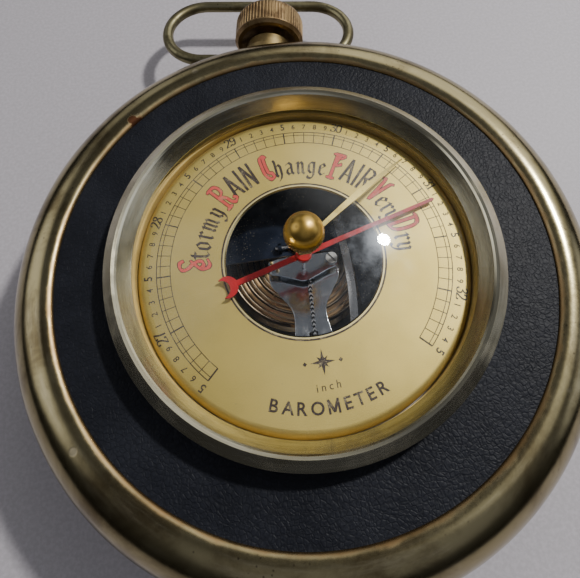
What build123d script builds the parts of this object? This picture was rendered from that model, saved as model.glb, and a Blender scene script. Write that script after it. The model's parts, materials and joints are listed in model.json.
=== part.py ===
"""Ship's barometer in a pocket-watch case: an aneroid movement under a domed glass.

Millimetres. The case lies on its flat back: the origin is the centre of the back face,
+Z runs along the dial axis to the viewer and +Y points to 12 o'clock on the dial.
"""
import os
from math import cos, pi, radians, sin, sqrt

from build123d import *

os.makedirs("parts", exist_ok=True)

# ---------------------------------------------------------------- driving dimensions
# Clearances
RUNNING = 0.05            # radial, shafts and pivots in their holes
LOOSE = 0.15              # radial, screws and posts through plates
SEAT_GAP = 0.1            # shell to core, edge to edge

# Case: spun brass rim over a turned wooden core, flat back cover
DIAL_HEIGHT = 35.0        # dial face, level with the leather, above the resting plane
RIM_INNER_R = 64.5        # lip on the leather
RIM_CREST_R = 67.5
RIM_OUTER_R = 78.1
RIM_FOOT_R = 70.0
RIM_CREST_RISE = 1.4      # crest above the leather
RIM_WIDEST_DROP = 12.0    # widest point below the leather
RIM_WALL = 1.4
CORE_BORE_R = 62.0
BACK_THICK = 1.2
BACK_SCREW_R = 66.0
BACK_SCREW_COUNT = 6
VENT_RING_R = 20.0

# Leather-covered panel
BOARD_THICK = 3.2
LEATHER_THICK = 0.8

# Movement housing and what closes it
HOUSING_R = 46.8
HOUSING_WALL = 0.8
HOUSING_DEPTH = 31.0      # dial face to the underside of the housing floor
HOUSING_RISE = 2.6        # wall above the leather
FLANGE_R = 56.0
FLANGE_THICK = 1.2
FLANGE_SCREW_R = 52.0
BEZEL_OUTER_R = 50.0
BEZEL_TOP_OUTER_R = 47.5
BEZEL_TOP_INNER_R = 46.3
BEZEL_SIGHT_R = 43.65     # clear view of the dial
BEZEL_TOP_RISE = 8.15     # above the dial face
BEZEL_EDGE_RISE = 6.3
BEZEL_SIGHT_RISE = 3.9
GLASS_THICK = 1.8
GLASS_SEAT_RISE = 1.0     # underside of the glass edge above the dial face
GLASS_APEX_RISE = 13.0
GLASS_EDGE_R = 45.6
GLASS_HOLE_R = 2.1
GASKET_THICK = 0.5

# Screws and feet: shank radii, head radii and places
BACK_SCREW_SHANK_R = 1.3
BACK_SCREW_HEAD_R = 2.6
BACK_SCREW_REACH = 9.0       # hole depth in the wooden core
FLANGE_SCREW_SHANK_R = 1.5
PILLAR_SCREW_R = 1.25
ADJUSTER_R = 1.5
CAPSULE_POST_R = 2.0
SPRING_SCREW_R = 1.1
SPRING_SCREW_X = 11.0
BRACKET_SCREW_R = 0.9
BRACKET_THICK = 1.1
BRACKET_SCREW_X = 3.5
BRIDGE_SCREW_R = 1.2
BRIDGE_PILLAR_SPOTS = ((-3.8, -27), (3.8, -27))
COCK_SCREW_HEAD_R = 1.6
COCK_SCREW_HEAD = 0.9
LEVER_RIVET_SPOT = (12.0, 15.5)
LEVER_RIVET_R = 0.8
LEVER_THICK = 1.0
KNIFE_R = 0.6

# Dial
DIAL_FLAT_R = 41.4
DIAL_FOOT_R = 1.0
DIAL_EDGE_R = 43.4
DIAL_DEPTH = 3.4          # turned-down edge
DIAL_THICK = 0.6
APERTURE_R = 20.3
DIAL_FOOT_RING_R = 33.0
CARRIER_THICK = 0.8
CARRIER_BORE_R = 23.0
PILLAR_RING_R = 38.5

# Hands
HAND_REST_ANGLE = 74.3    # red hand, clockwise from 12 o'clock
HAND_TIP_R = 38.6
HAND_RISE = 1.4           # above the dial face
HAND_THICK = 0.5
FORK_R = 2.85
SET_HAND_ANGLE = 53.4
SET_HAND_TIP_R = 39.0
KNOB_R = 4.85
KNOB_TEETH = 36

# Aneroid movement
BASE_PLATE_R = 44.0
BASE_PLATE_THICK = 1.8
CAPSULE_Y = 8.0
CAPSULE_R = 22.5
CAPSULE_THICK = 7.0
CAPSULE_WAVES = 5
SPRING_THICK = 0.9
SPRING_TOP_DROP = 13.8    # top of the spring leaf below the dial face
SPRING_BEND_Y = 34.0
SPRING_FREE_Y = 5.8
ROCKER_Y = -21.0
ROCKER_DROP = 18.0        # rocking shaft below the dial face
ROCKER_R = 0.9
CRANK_LENGTH = 3.0
CHAIN_DROP = 10.8
DRUM_R = 0.85
ARBOR_R = 0.45
PLATE_THICK = 0.8
PLATE_TOP_DROP = 12.2
COCK_TOP_DROP = 8.6
HAIRSPRING_R = 4.6
HAIRSPRING_TURNS = 5

# Pendant: neck, crown and bow. The neck leans to the right of 12 o'clock from its root.
PENDANT_LEAN = 9.0
PENDANT_DROP = 14.0       # crown axis below the dial face
NECK_R = 7.5
NECK_LENGTH = 6.0
SPIGOT_R = 4.9
CROWN_R = 11.9
CROWN_LENGTH = 11.5
CROWN_GAP = 0.8
CROWN_FLUTES = 64
BOW_WIRE_R = 2.0
BOW_HALF_WIDTH = 33.4     # to the wire's centre line
BOW_HALF_HEIGHT = 13.8
BOW_SHIFT = -4.7          # the bow lies slid along its hole
BOW_TILT = -4.0           # droop at rest
BOW_HOLE_OFFSET = 4.4     # hole below the crown axis
BOW_HOLE_REACH = 3.6      # hole centre from the root of the neck

# ---------------------------------------------------------------- derived levels
widest_z = DIAL_HEIGHT - RIM_WIDEST_DROP
board_z = DIAL_HEIGHT - LEATHER_THICK - BOARD_THICK
housing_z = DIAL_HEIGHT - HOUSING_DEPTH
floor_z = housing_z + HOUSING_WALL
base_top_z = floor_z + BASE_PLATE_THICK
carrier_top_z = DIAL_HEIGHT - DIAL_DEPTH
carrier_z = carrier_top_z - CARRIER_THICK
plate_top_z = DIAL_HEIGHT - PLATE_TOP_DROP
plate_z = plate_top_z - PLATE_THICK
cock_top_z = DIAL_HEIGHT - COCK_TOP_DROP
cock_z = cock_top_z - PLATE_THICK
chain_z = DIAL_HEIGHT - CHAIN_DROP
rocker_z = DIAL_HEIGHT - ROCKER_DROP
leaf_top_z = DIAL_HEIGHT - SPRING_TOP_DROP
leaf_z = leaf_top_z - SPRING_THICK
board_hole_r = HOUSING_R + LOOSE
board_edge_r = RIM_CREST_R - 1.1
housing_bore_r = HOUSING_R - HOUSING_WALL
ring_edge_r = housing_bore_r - SEAT_GAP

# Glass: two concentric spheres through the apex and the seat
glass_apex_z = DIAL_HEIGHT + GLASS_APEX_RISE
glass_seat_z = DIAL_HEIGHT + GLASS_SEAT_RISE
glass_shoulder_z = glass_seat_z + GLASS_THICK - SEAT_GAP
glass_sagitta = glass_apex_z - glass_shoulder_z
glass_outer_r = (GLASS_EDGE_R**2 + glass_sagitta**2) / (2 * glass_sagitta)
glass_inner_r = glass_outer_r - GLASS_THICK
glass_centre_z = glass_apex_z - glass_outer_r

# Pendant frame: z outwards along the neck, x to the side, y towards the back
lean = radians(PENDANT_LEAN)
pendant = Plane(
    origin=(0, RIM_OUTER_R, DIAL_HEIGHT - PENDANT_DROP),
    x_dir=(cos(lean), -sin(lean), 0),
    z_dir=(sin(lean), cos(lean), 0),
)


def sphere_height(radius, reach):
    """Height of a glass-centred sphere of this radius at a distance from the dial axis."""
    return glass_centre_z + sqrt(radius**2 - reach**2)


def underside(x, y, z):
    """Plane facing down at a point, with x to the right and y reversed."""
    return Plane(origin=(x, y, z), x_dir=(1, 0, 0), z_dir=(0, 0, -1))


def disc(inner_r, outer_r, low, high, mode=Mode.ADD):
    """Turned disc or ring about the dial axis, in the part block that calls it."""
    with BuildSketch(Plane.XY.offset(low)) as face:
        Circle(outer_r)
        if inner_r:
            Circle(inner_r, mode=Mode.SUBTRACT)
    extrude(face.sketch, amount=high - low, mode=mode)


def screw(shank_r, shank_length, head_r, head_height, slot=0.5):
    """Slotted cheese-head screw: seat of the head at z = 0, shank down, head up."""
    with BuildPart() as made:
        with BuildSketch():
            Circle(shank_r)
        extrude(amount=-shank_length)
        with BuildSketch():
            Circle(head_r)
        extrude(amount=head_height)
        fillet(made.edges().group_by(Axis.Z)[-1], head_height * 0.25)
        with BuildSketch(Plane.XY.offset(head_height)):
            Rectangle(3 * head_r, slot)
        extrude(amount=-head_height * 0.45, mode=Mode.SUBTRACT)
    return made.part


def save(piece, name):
    piece.label = name
    export_step(piece, f"parts/{name}.step")


# ---------------------------------------------------------------- case
def rim_outline(inset):
    """Arcs of the rim section from the crest to the foot, set in from the outside."""
    EllipticalCenterArc(
        (RIM_CREST_R, widest_z),
        RIM_OUTER_R - RIM_CREST_R - inset,
        RIM_WIDEST_DROP + RIM_CREST_RISE - inset,
        start_angle=0,
        arc_size=90,
    )
    EllipticalCenterArc(
        (RIM_FOOT_R, widest_z),
        RIM_OUTER_R - RIM_FOOT_R - inset,
        widest_z - BACK_THICK + SEAT_GAP - inset,
        start_angle=270,
        arc_size=90,
    )


foot_low_z = BACK_THICK - SEAT_GAP
core_inset = RIM_WALL + SEAT_GAP

with BuildPart() as rim_form:
    # Everything inside the rim's outer surface, used to fit the neck to it
    with BuildSketch(Plane.XZ):
        with BuildLine():
            rim_outline(0)
            Polyline(
                (RIM_FOOT_R, foot_low_z),
                (0, foot_low_z),
                (0, DIAL_HEIGHT + RIM_CREST_RISE),
                (RIM_CREST_R, DIAL_HEIGHT + RIM_CREST_RISE),
            )
        make_face()
    revolve(axis=Axis.Z)

with BuildPart() as case_rim:
    with BuildSketch(Plane.XZ):
        with BuildLine():
            rim_outline(0)
            EllipticalCenterArc(
                (RIM_CREST_R, DIAL_HEIGHT),
                RIM_CREST_R - RIM_INNER_R,
                RIM_CREST_RISE,
                start_angle=90,
                arc_size=90,
            )
            Line((RIM_INNER_R, DIAL_HEIGHT), (RIM_CREST_R, DIAL_HEIGHT))
            rim_outline(RIM_WALL)
            Line((RIM_FOOT_R, foot_low_z + RIM_WALL), (RIM_FOOT_R, foot_low_z))
        make_face()
    revolve(axis=Axis.Z)
    with Locations(Plane(origin=pendant.origin, z_dir=(0, 1, 0))):
        Cylinder(SPIGOT_R + SEAT_GAP, 4 * SPIGOT_R, mode=Mode.SUBTRACT)
save(case_rim.part, "case_rim")

with BuildPart() as case_core:
    with BuildSketch(Plane.XZ):
        with BuildLine():
            rim_outline(core_inset)
            Polyline(
                (RIM_FOOT_R, foot_low_z + core_inset),
                (RIM_FOOT_R - SEAT_GAP, foot_low_z + core_inset),
                (RIM_FOOT_R - SEAT_GAP, BACK_THICK),
                (CORE_BORE_R, BACK_THICK),
                (CORE_BORE_R, board_z),
                (board_edge_r + SEAT_GAP, board_z),
                (board_edge_r + SEAT_GAP, DIAL_HEIGHT - SEAT_GAP),
                (RIM_CREST_R, DIAL_HEIGHT - SEAT_GAP),
            )
        make_face()
    revolve(axis=Axis.Z)
    with Locations(Plane(origin=pendant.origin, z_dir=(0, 1, 0))):
        Cylinder(SPIGOT_R + SEAT_GAP, 8 * SPIGOT_R, mode=Mode.SUBTRACT)
    with BuildSketch(Plane.XY.offset(BACK_THICK)):
        with PolarLocations(BACK_SCREW_R, BACK_SCREW_COUNT, start_angle=30):
            Circle(BACK_SCREW_SHANK_R)
    extrude(amount=BACK_SCREW_REACH, mode=Mode.SUBTRACT)
save(case_core.part, "case_core")

adjuster_y = SPRING_BEND_Y - 2.3
spring_spots = [(side * SPRING_SCREW_X, SPRING_BEND_Y - 1.7) for side in (-1, 1)]
bracket_spots = [(side * BRACKET_SCREW_X, ROCKER_Y) for side in (-1, 1)]

with BuildPart() as back_cover:
    with BuildSketch():
        Circle(RIM_FOOT_R - 2 * SEAT_GAP)
        with Locations((0, adjuster_y)):
            Circle(3.5, mode=Mode.SUBTRACT)
        with PolarLocations(VENT_RING_R, 3, start_angle=-90):
            SlotOverall(14, 3, rotation=90, mode=Mode.SUBTRACT)
    extrude(amount=BACK_THICK)
    with Locations(underside(0, 0, 0)):
        with PolarLocations(BACK_SCREW_R, BACK_SCREW_COUNT, start_angle=-30):
            CounterSinkHole(BACK_SCREW_SHANK_R + RUNNING, BACK_SCREW_HEAD_R + RUNNING, counter_sink_angle=90)
save(back_cover.part, "back_cover")

with BuildPart() as back_screws:
    with PolarLocations(BACK_SCREW_R, BACK_SCREW_COUNT, start_angle=30):
        with Locations((0, 0, BACK_THICK / 2)):
            Cone(BACK_SCREW_HEAD_R, BACK_SCREW_SHANK_R, BACK_THICK)
        with Locations((0, 0, (BACK_THICK + BACK_SCREW_REACH) / 2)):
            Cylinder(BACK_SCREW_SHANK_R, BACK_THICK + BACK_SCREW_REACH - SEAT_GAP)
        with Locations((0, 0, 0.2)):
            Box(6, 0.6, 0.4, mode=Mode.SUBTRACT)
save(back_screws.part, "back_screws")

with BuildPart() as panel_board:
    disc(board_hole_r, board_edge_r, board_z, board_z + BOARD_THICK)
    with BuildSketch(Plane.XY.offset(board_z)):
        with PolarLocations(FLANGE_SCREW_R, 3, start_angle=90):
            Circle(FLANGE_SCREW_SHANK_R)
    extrude(amount=2.4, mode=Mode.SUBTRACT)
save(panel_board.part, "panel_board")

with BuildPart() as leather_panel:
    disc(board_hole_r, board_edge_r, board_z + BOARD_THICK, DIAL_HEIGHT)
save(leather_panel.part, "leather_panel")

# ---------------------------------------------------------------- housing, bezel and glass
flange_z = board_z - FLANGE_THICK

with BuildPart() as movement_housing:
    disc(0, HOUSING_R, housing_z, DIAL_HEIGHT + HOUSING_RISE)
    disc(0, housing_bore_r, floor_z, DIAL_HEIGHT + HOUSING_RISE, mode=Mode.SUBTRACT)
    disc(housing_bore_r, FLANGE_R, flange_z, board_z)
    with BuildSketch(Plane.XY.offset(flange_z)):
        with PolarLocations(FLANGE_SCREW_R, 3, start_angle=90):
            Circle(FLANGE_SCREW_SHANK_R + LOOSE)
    extrude(amount=FLANGE_THICK, mode=Mode.SUBTRACT)
    with BuildSketch(Plane.XY.offset(housing_z)):
        with PolarLocations(PILLAR_RING_R, 3, start_angle=30):
            Circle(PILLAR_SCREW_R + LOOSE)
        with Locations((0, adjuster_y)):
            Circle(ADJUSTER_R + LOOSE)
    extrude(amount=HOUSING_WALL, mode=Mode.SUBTRACT)
save(movement_housing.part, "movement_housing")

flange_screw = screw(FLANGE_SCREW_SHANK_R, FLANGE_THICK + 2.3, 2.8, 1.6, slot=0.7)

with BuildPart() as housing_screws:
    with Locations(underside(0, 0, flange_z)):
        with PolarLocations(FLANGE_SCREW_R, 3, start_angle=-90):
            add(flange_screw)
save(housing_screws.part, "housing_screws")

with BuildPart() as bezel:
    with BuildSketch(Plane.XZ):
        with BuildLine():
            Polyline(
                (BEZEL_SIGHT_R, DIAL_HEIGHT + BEZEL_SIGHT_RISE),
                (BEZEL_TOP_INNER_R, DIAL_HEIGHT + BEZEL_TOP_RISE - 0.65),
                (BEZEL_TOP_OUTER_R, DIAL_HEIGHT + BEZEL_TOP_RISE),
                (BEZEL_OUTER_R, DIAL_HEIGHT + BEZEL_EDGE_RISE),
                (BEZEL_OUTER_R, DIAL_HEIGHT + BEZEL_EDGE_RISE - 1.0),
                (HOUSING_R + 1.4, DIAL_HEIGHT + BEZEL_EDGE_RISE - 1.3),
                (HOUSING_R + 1.4, DIAL_HEIGHT + HOUSING_RISE - 1.2),
                (HOUSING_R + RUNNING, DIAL_HEIGHT + HOUSING_RISE - 1.2),
                (HOUSING_R + RUNNING, glass_shoulder_z + SEAT_GAP),
                (GLASS_EDGE_R, glass_shoulder_z + SEAT_GAP),
                (BEZEL_SIGHT_R, sphere_height(glass_outer_r, BEZEL_SIGHT_R) + SEAT_GAP),
                close=True,
            )
        make_face()
    revolve(axis=Axis.Z)
save(bezel.part, "bezel")

inner_flat_r = sqrt(glass_inner_r**2 - (glass_seat_z - glass_centre_z) ** 2)

with BuildPart() as glass:
    with BuildSketch(Plane.XZ):
        with BuildLine():
            RadiusArc(
                (GLASS_HOLE_R, sphere_height(glass_outer_r, GLASS_HOLE_R)),
                (GLASS_EDGE_R, glass_shoulder_z),
                glass_outer_r,
            )
            Polyline(
                (GLASS_EDGE_R, glass_shoulder_z),
                (GLASS_EDGE_R, glass_seat_z),
                (inner_flat_r, glass_seat_z),
            )
            RadiusArc(
                (GLASS_HOLE_R, sphere_height(glass_inner_r, GLASS_HOLE_R)),
                (inner_flat_r, glass_seat_z),
                glass_inner_r,
            )
            Line(
                (GLASS_HOLE_R, sphere_height(glass_inner_r, GLASS_HOLE_R)),
                (GLASS_HOLE_R, sphere_height(glass_outer_r, GLASS_HOLE_R)),
            )
        make_face()
    revolve(axis=Axis.Z)
save(glass.part, "glass")

gasket_z = glass_seat_z - GASKET_THICK

with BuildPart() as glass_gasket:
    disc(BEZEL_SIGHT_R + 0.6, ring_edge_r, gasket_z, glass_seat_z)
save(glass_gasket.part, "glass_gasket")

with BuildPart() as spacer_ring:
    disc(BEZEL_SIGHT_R, ring_edge_r, carrier_top_z, gasket_z)
save(spacer_ring.part, "spacer_ring")

# ---------------------------------------------------------------- dial and its support
dial_corner = DIAL_EDGE_R - DIAL_FLAT_R

with BuildPart() as dial:
    with BuildSketch(Plane.XZ):
        with BuildLine():
            Line((APERTURE_R + 0.4, DIAL_HEIGHT), (DIAL_FLAT_R, DIAL_HEIGHT))
            RadiusArc(
                (DIAL_FLAT_R, DIAL_HEIGHT), (DIAL_EDGE_R, DIAL_HEIGHT - dial_corner), dial_corner
            )
            Polyline(
                (DIAL_EDGE_R, DIAL_HEIGHT - dial_corner),
                (DIAL_EDGE_R, carrier_top_z),
                (DIAL_EDGE_R - DIAL_THICK, carrier_top_z),
                (DIAL_EDGE_R - DIAL_THICK, DIAL_HEIGHT - dial_corner),
            )
            RadiusArc(
                (DIAL_FLAT_R, DIAL_HEIGHT - DIAL_THICK),
                (DIAL_EDGE_R - DIAL_THICK, DIAL_HEIGHT - dial_corner),
                dial_corner - DIAL_THICK,
            )
            Polyline(
                (DIAL_FLAT_R, DIAL_HEIGHT - DIAL_THICK),
                (APERTURE_R, DIAL_HEIGHT - DIAL_THICK),
                (APERTURE_R, DIAL_HEIGHT - 0.4),
                (APERTURE_R + 0.4, DIAL_HEIGHT),
            )
        make_face()
    revolve(axis=Axis.Z)
    with BuildSketch(Plane.XY.offset(carrier_z - 1.8)):
        with PolarLocations(DIAL_FOOT_RING_R, 2):
            Circle(DIAL_FOOT_R)
    extrude(amount=DIAL_HEIGHT - DIAL_THICK / 2 - carrier_z + 1.8)
save(dial.part, "dial")

with BuildPart() as dial_carrier:
    disc(CARRIER_BORE_R, ring_edge_r, carrier_z, carrier_top_z)
    with BuildSketch(Plane.XY.offset(carrier_z)):
        with PolarLocations(DIAL_FOOT_RING_R, 2):
            Circle(DIAL_FOOT_R + LOOSE)
        with PolarLocations(PILLAR_RING_R, 3, start_angle=30):
            Circle(PILLAR_SCREW_R + LOOSE)
    extrude(amount=CARRIER_THICK, mode=Mode.SUBTRACT)
save(dial_carrier.part, "dial_carrier")

with BuildPart() as dial_nuts:
    with BuildSketch(Plane.XY.offset(carrier_z - 1.4)):
        with PolarLocations(DIAL_FOOT_RING_R, 2):
            RegularPolygon(2.2, 6)
            Circle(DIAL_FOOT_R, mode=Mode.SUBTRACT)
    extrude(amount=1.4)
save(dial_nuts.part, "dial_nuts")

with BuildPart() as dial_pillars:
    with BuildSketch(Plane.XY.offset(base_top_z)):
        with PolarLocations(PILLAR_RING_R, 3, start_angle=30):
            Circle(2.4)
    extrude(amount=carrier_z - base_top_z)
    for level in (base_top_z, carrier_z - 5):
        with BuildSketch(Plane.XY.offset(level)):
            with PolarLocations(PILLAR_RING_R, 3, start_angle=30):
                Circle(PILLAR_SCREW_R)
        extrude(amount=5, mode=Mode.SUBTRACT)
save(dial_pillars.part, "dial_pillars")

carrier_screw = screw(PILLAR_SCREW_R, CARRIER_THICK + 4.5, 2.1, 1.2)

with BuildPart() as carrier_screws:
    with PolarLocations(PILLAR_RING_R, 3, start_angle=30):
        with Locations((0, 0, carrier_top_z)):
            add(carrier_screw)
save(carrier_screws.part, "carrier_screws")

# ---------------------------------------------------------------- movement: base and capsule
with BuildPart() as base_plate:
    disc(0, BASE_PLATE_R, floor_z, base_top_z)
    with BuildSketch(Plane.XY.offset(floor_z)):
        with PolarLocations(PILLAR_RING_R, 3, start_angle=30):
            Circle(PILLAR_SCREW_R + LOOSE)
        with Locations((0, adjuster_y)):
            Circle(ADJUSTER_R + RUNNING)
        with Locations((0, CAPSULE_Y)):
            Circle(CAPSULE_POST_R)
        with Locations(*BRIDGE_PILLAR_SPOTS):
            Circle(BRIDGE_SCREW_R)
        with Locations(*bracket_spots):
            Circle(BRACKET_SCREW_R)
        with Locations(*spring_spots):
            Circle(SPRING_SCREW_R)
    extrude(amount=BASE_PLATE_THICK, mode=Mode.SUBTRACT)
save(base_plate.part, "base_plate")

base_screw = screw(PILLAR_SCREW_R, HOUSING_WALL + BASE_PLATE_THICK + 4.5, 2.3, 1.3)

with BuildPart() as base_screws:
    with Locations(underside(0, 0, housing_z)):
        with PolarLocations(PILLAR_RING_R, 3, start_angle=-30):
            add(base_screw)
save(base_screws.part, "base_screws")

adjuster = screw(ADJUSTER_R, HOUSING_WALL + BASE_PLATE_THICK, 2.6, 1.6, slot=0.8)

with BuildPart() as adjusting_screw:
    with Locations(underside(0, adjuster_y, housing_z)):
        add(adjuster)
save(adjusting_screw.part, "adjusting_screw")

capsule_z = base_top_z + 1.4
capsule_mid_z = capsule_z + CAPSULE_THICK / 2
skin = 0.3


def corrugated(sign, inset):
    """Points of half a capsule section: rings of waves from the boss to the rim."""
    points = []
    steps = CAPSULE_WAVES * 8
    for step in range(steps + 1):
        reach = 3.5 + (CAPSULE_R - 5.0) * step / steps
        wave = 0.75 * cos(2 * pi * CAPSULE_WAVES * step / steps)
        rise = CAPSULE_THICK / 2 - 0.95 + wave - inset
        points.append((reach, capsule_mid_z + sign * rise))
    return points


def capsule_half(sign):
    """One corrugated diaphragm with its rim flange and central boss."""
    outer = corrugated(sign, 0)
    inner = corrugated(sign, skin)
    with BuildPart() as half:
        with BuildSketch(Plane.XZ):
            with BuildLine():
                Spline(outer)
                Polyline(
                    outer[-1],
                    (CAPSULE_R - 1.2, capsule_mid_z + sign * 2 * skin),
                    (CAPSULE_R, capsule_mid_z + sign * skin),
                    (CAPSULE_R, capsule_mid_z),
                    (CAPSULE_R - 1.5, capsule_mid_z),
                    inner[-1],
                )
                Spline(inner)
                Polyline(
                    inner[0],
                    (0, inner[0][1]),
                    (0, capsule_mid_z + sign * CAPSULE_THICK / 2),
                    (2.6, capsule_mid_z + sign * CAPSULE_THICK / 2),
                    outer[0],
                )
            make_face()
        revolve(axis=Axis.Z)
    return half.part


lower_half, upper_half = capsule_half(-1), capsule_half(1)

with BuildPart() as capsule_lower:
    with Locations((0, CAPSULE_Y, 0)):
        add(lower_half)
save(capsule_lower.part, "capsule_lower")

with BuildPart() as capsule_upper:
    with Locations((0, CAPSULE_Y, 0)):
        add(upper_half)
save(capsule_upper.part, "capsule_upper")

with BuildPart() as capsule_post:
    with BuildSketch(Plane.XY.offset(base_top_z)):
        with Locations((0, CAPSULE_Y)):
            Circle(3.2)
    extrude(amount=capsule_z - base_top_z)
    with BuildSketch(Plane.XY.offset(floor_z)):
        with Locations((0, CAPSULE_Y)):
            Circle(CAPSULE_POST_R)
    extrude(amount=BASE_PLATE_THICK)
save(capsule_post.part, "capsule_post")

knife_z = leaf_top_z + 1.1

with BuildPart() as capsule_stud:
    with BuildSketch(Plane.XY.offset(capsule_z + CAPSULE_THICK)):
        with Locations((0, CAPSULE_Y)):
            Circle(1.6)
    extrude(amount=knife_z + 1.3 - capsule_z - CAPSULE_THICK)
    fillet(capsule_stud.edges().group_by(Axis.Z)[-1], 0.4)
    with Locations(Plane(origin=(0, CAPSULE_Y, knife_z), z_dir=(1, 0, 0))):
        Cylinder(KNIFE_R + LOOSE, 6, mode=Mode.SUBTRACT)
save(capsule_stud.part, "capsule_stud")

# ---------------------------------------------------------------- main spring and lever
bend_r = (leaf_top_z - base_top_z) / 2
bend_z = base_top_z + bend_r

with BuildPart() as main_spring:
    with BuildSketch(Plane.YZ.offset(-24)):
        with BuildLine():
            Polyline(
                (SPRING_BEND_Y, leaf_top_z),
                (SPRING_FREE_Y - 17, leaf_top_z),
                (SPRING_FREE_Y - 17, leaf_z),
                (SPRING_BEND_Y, leaf_z),
            )
            ThreePointArc(
                (SPRING_BEND_Y, leaf_z),
                (SPRING_BEND_Y + bend_r - SPRING_THICK, bend_z),
                (SPRING_BEND_Y, base_top_z + SPRING_THICK),
            )
            Polyline(
                (SPRING_BEND_Y, base_top_z + SPRING_THICK),
                (SPRING_BEND_Y - 3.5, base_top_z + SPRING_THICK),
                (SPRING_BEND_Y - 3.5, base_top_z),
                (SPRING_BEND_Y, base_top_z),
            )
            ThreePointArc(
                (SPRING_BEND_Y, base_top_z),
                (SPRING_BEND_Y + bend_r, bend_z),
                (SPRING_BEND_Y, leaf_top_z),
            )
        make_face()
    extrude(amount=48)
    # Plan shape: wide over the capsule, with a limb down the right side
    with BuildSketch(Plane.XY):
        with BuildLine():
            Polyline(
                (-16.5, SPRING_BEND_Y + bend_r + 1),
                (16.5, SPRING_BEND_Y + bend_r + 1),
                (24, SPRING_FREE_Y),
                (22, SPRING_FREE_Y - 14),
                (19.5, SPRING_FREE_Y - 17),
                (14.5, SPRING_FREE_Y - 17),
                (14.5, SPRING_FREE_Y),
                (-24, SPRING_FREE_Y),
                close=True,
            )
        make_face()
        with Locations((0, CAPSULE_Y)):
            SlotOverall(5.4, 4.4, mode=Mode.SUBTRACT)
    extrude(amount=DIAL_HEIGHT, mode=Mode.INTERSECT)
    with BuildSketch(Plane.XY.offset(base_top_z)):
        with Locations(*spring_spots):
            Circle(SPRING_SCREW_R + LOOSE)
    extrude(amount=SPRING_THICK, mode=Mode.SUBTRACT)
    # Lugs that carry the knife-edge pin
    for side in (-1, 1):
        with BuildSketch(Plane.YZ.offset(side * 5.6 - 0.5)):
            with Locations((CAPSULE_Y, knife_z)):
                Circle(1.4)
            with Locations((CAPSULE_Y, (knife_z + leaf_top_z) / 2)):
                Rectangle(2.8, knife_z - leaf_top_z)
            with Locations((CAPSULE_Y, knife_z)):
                Circle(KNIFE_R + RUNNING, mode=Mode.SUBTRACT)
        extrude(amount=1.0)
save(main_spring.part, "main_spring")

spring_screw = screw(SPRING_SCREW_R, SPRING_THICK + BASE_PLATE_THICK, 1.7, 1.1)

with BuildPart() as spring_screws:
    with Locations(*[(x, y, base_top_z + SPRING_THICK) for x, y in spring_spots]):
        add(spring_screw)
save(spring_screws.part, "spring_screws")

with BuildPart() as knife_edge:
    with Locations(Plane(origin=(0, CAPSULE_Y, knife_z), z_dir=(1, 0, 0))):
        Cylinder(KNIFE_R, 14)
    chamfer(knife_edge.edges().filter_by(GeomType.CIRCLE), 0.15)
save(knife_edge.part, "knife_edge")

crank_x = 8.8
link_x = crank_x + 1.6
crank_end_y = ROCKER_Y - CRANK_LENGTH

with BuildPart() as main_lever:
    with BuildSketch(Plane.XY.offset(leaf_top_z)):
        with BuildLine():
            Spline(
                LEVER_RIVET_SPOT,
                (12.7, 5.0),
                (12.6, -6.0),
                (11.6, -15.0),
                (link_x + 0.3, crank_end_y),
            )
        trace(line_width=2.2)
        with Locations(LEVER_RIVET_SPOT, (link_x + 0.3, crank_end_y)):
            Circle(1.5)
        with Locations(LEVER_RIVET_SPOT):
            Circle(LEVER_RIVET_R, mode=Mode.SUBTRACT)
    extrude(amount=LEVER_THICK)
save(main_lever.part, "main_lever")

with BuildPart() as lever_rivet:
    with Locations((*LEVER_RIVET_SPOT, leaf_top_z + LEVER_THICK / 2)):
        Cylinder(LEVER_RIVET_R, LEVER_THICK)
    with Locations((*LEVER_RIVET_SPOT, leaf_top_z + LEVER_THICK + 0.25)):
        Cylinder(1.2, 0.5)
save(lever_rivet.part, "lever_rivet")

with BuildPart() as link:
    with BuildSketch(Plane.YZ.offset(link_x)):
        with Locations((crank_end_y, (leaf_top_z + rocker_z) / 2)):
            Rectangle(1.6, leaf_top_z - rocker_z)
        with Locations((crank_end_y, rocker_z)):
            Circle(1.4)
            Circle(0.5 + 0.35, mode=Mode.SUBTRACT)
    extrude(amount=0.7)
save(link.part, "link")

# ---------------------------------------------------------------- rocking shaft
with BuildPart() as rocking_shaft:
    with BuildSketch(Plane.YZ.offset(-8.0)):
        with Locations((ROCKER_Y, rocker_z)):
            Circle(ROCKER_R)
    extrude(amount=crank_x + 1.2 + 8.0)
save(rocking_shaft.part, "rocking_shaft")

with BuildPart() as crank:
    with BuildSketch(Plane.YZ.offset(crank_x)):
        with Locations((ROCKER_Y, rocker_z)):
            Circle(1.6)
        with Locations((ROCKER_Y - CRANK_LENGTH / 2, rocker_z)):
            Rectangle(CRANK_LENGTH, 1.8)
        with Locations((crank_end_y, rocker_z)):
            Circle(0.9)
        with Locations((ROCKER_Y, rocker_z)):
            Circle(ROCKER_R, mode=Mode.SUBTRACT)
    extrude(amount=1.2)
    with BuildSketch(Plane.YZ.offset(crank_x + 1.2)):
        with Locations((crank_end_y, rocker_z)):
            Circle(0.5)
    extrude(amount=link_x + 1.1 - crank_x - 1.2)
save(crank.part, "crank")

with BuildPart() as chain_arm:
    with BuildSketch(Plane.YZ.offset(-0.5)):
        with Locations((ROCKER_Y, rocker_z)):
            Circle(1.6)
        with Locations((ROCKER_Y, (rocker_z + chain_z) / 2)):
            Rectangle(1.0, chain_z - rocker_z)
        with Locations((ROCKER_Y, chain_z)):
            Circle(0.7)
        with Locations((ROCKER_Y, rocker_z)):
            Circle(ROCKER_R, mode=Mode.SUBTRACT)
    extrude(amount=1.0)
save(chain_arm.part, "chain_arm")

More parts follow.
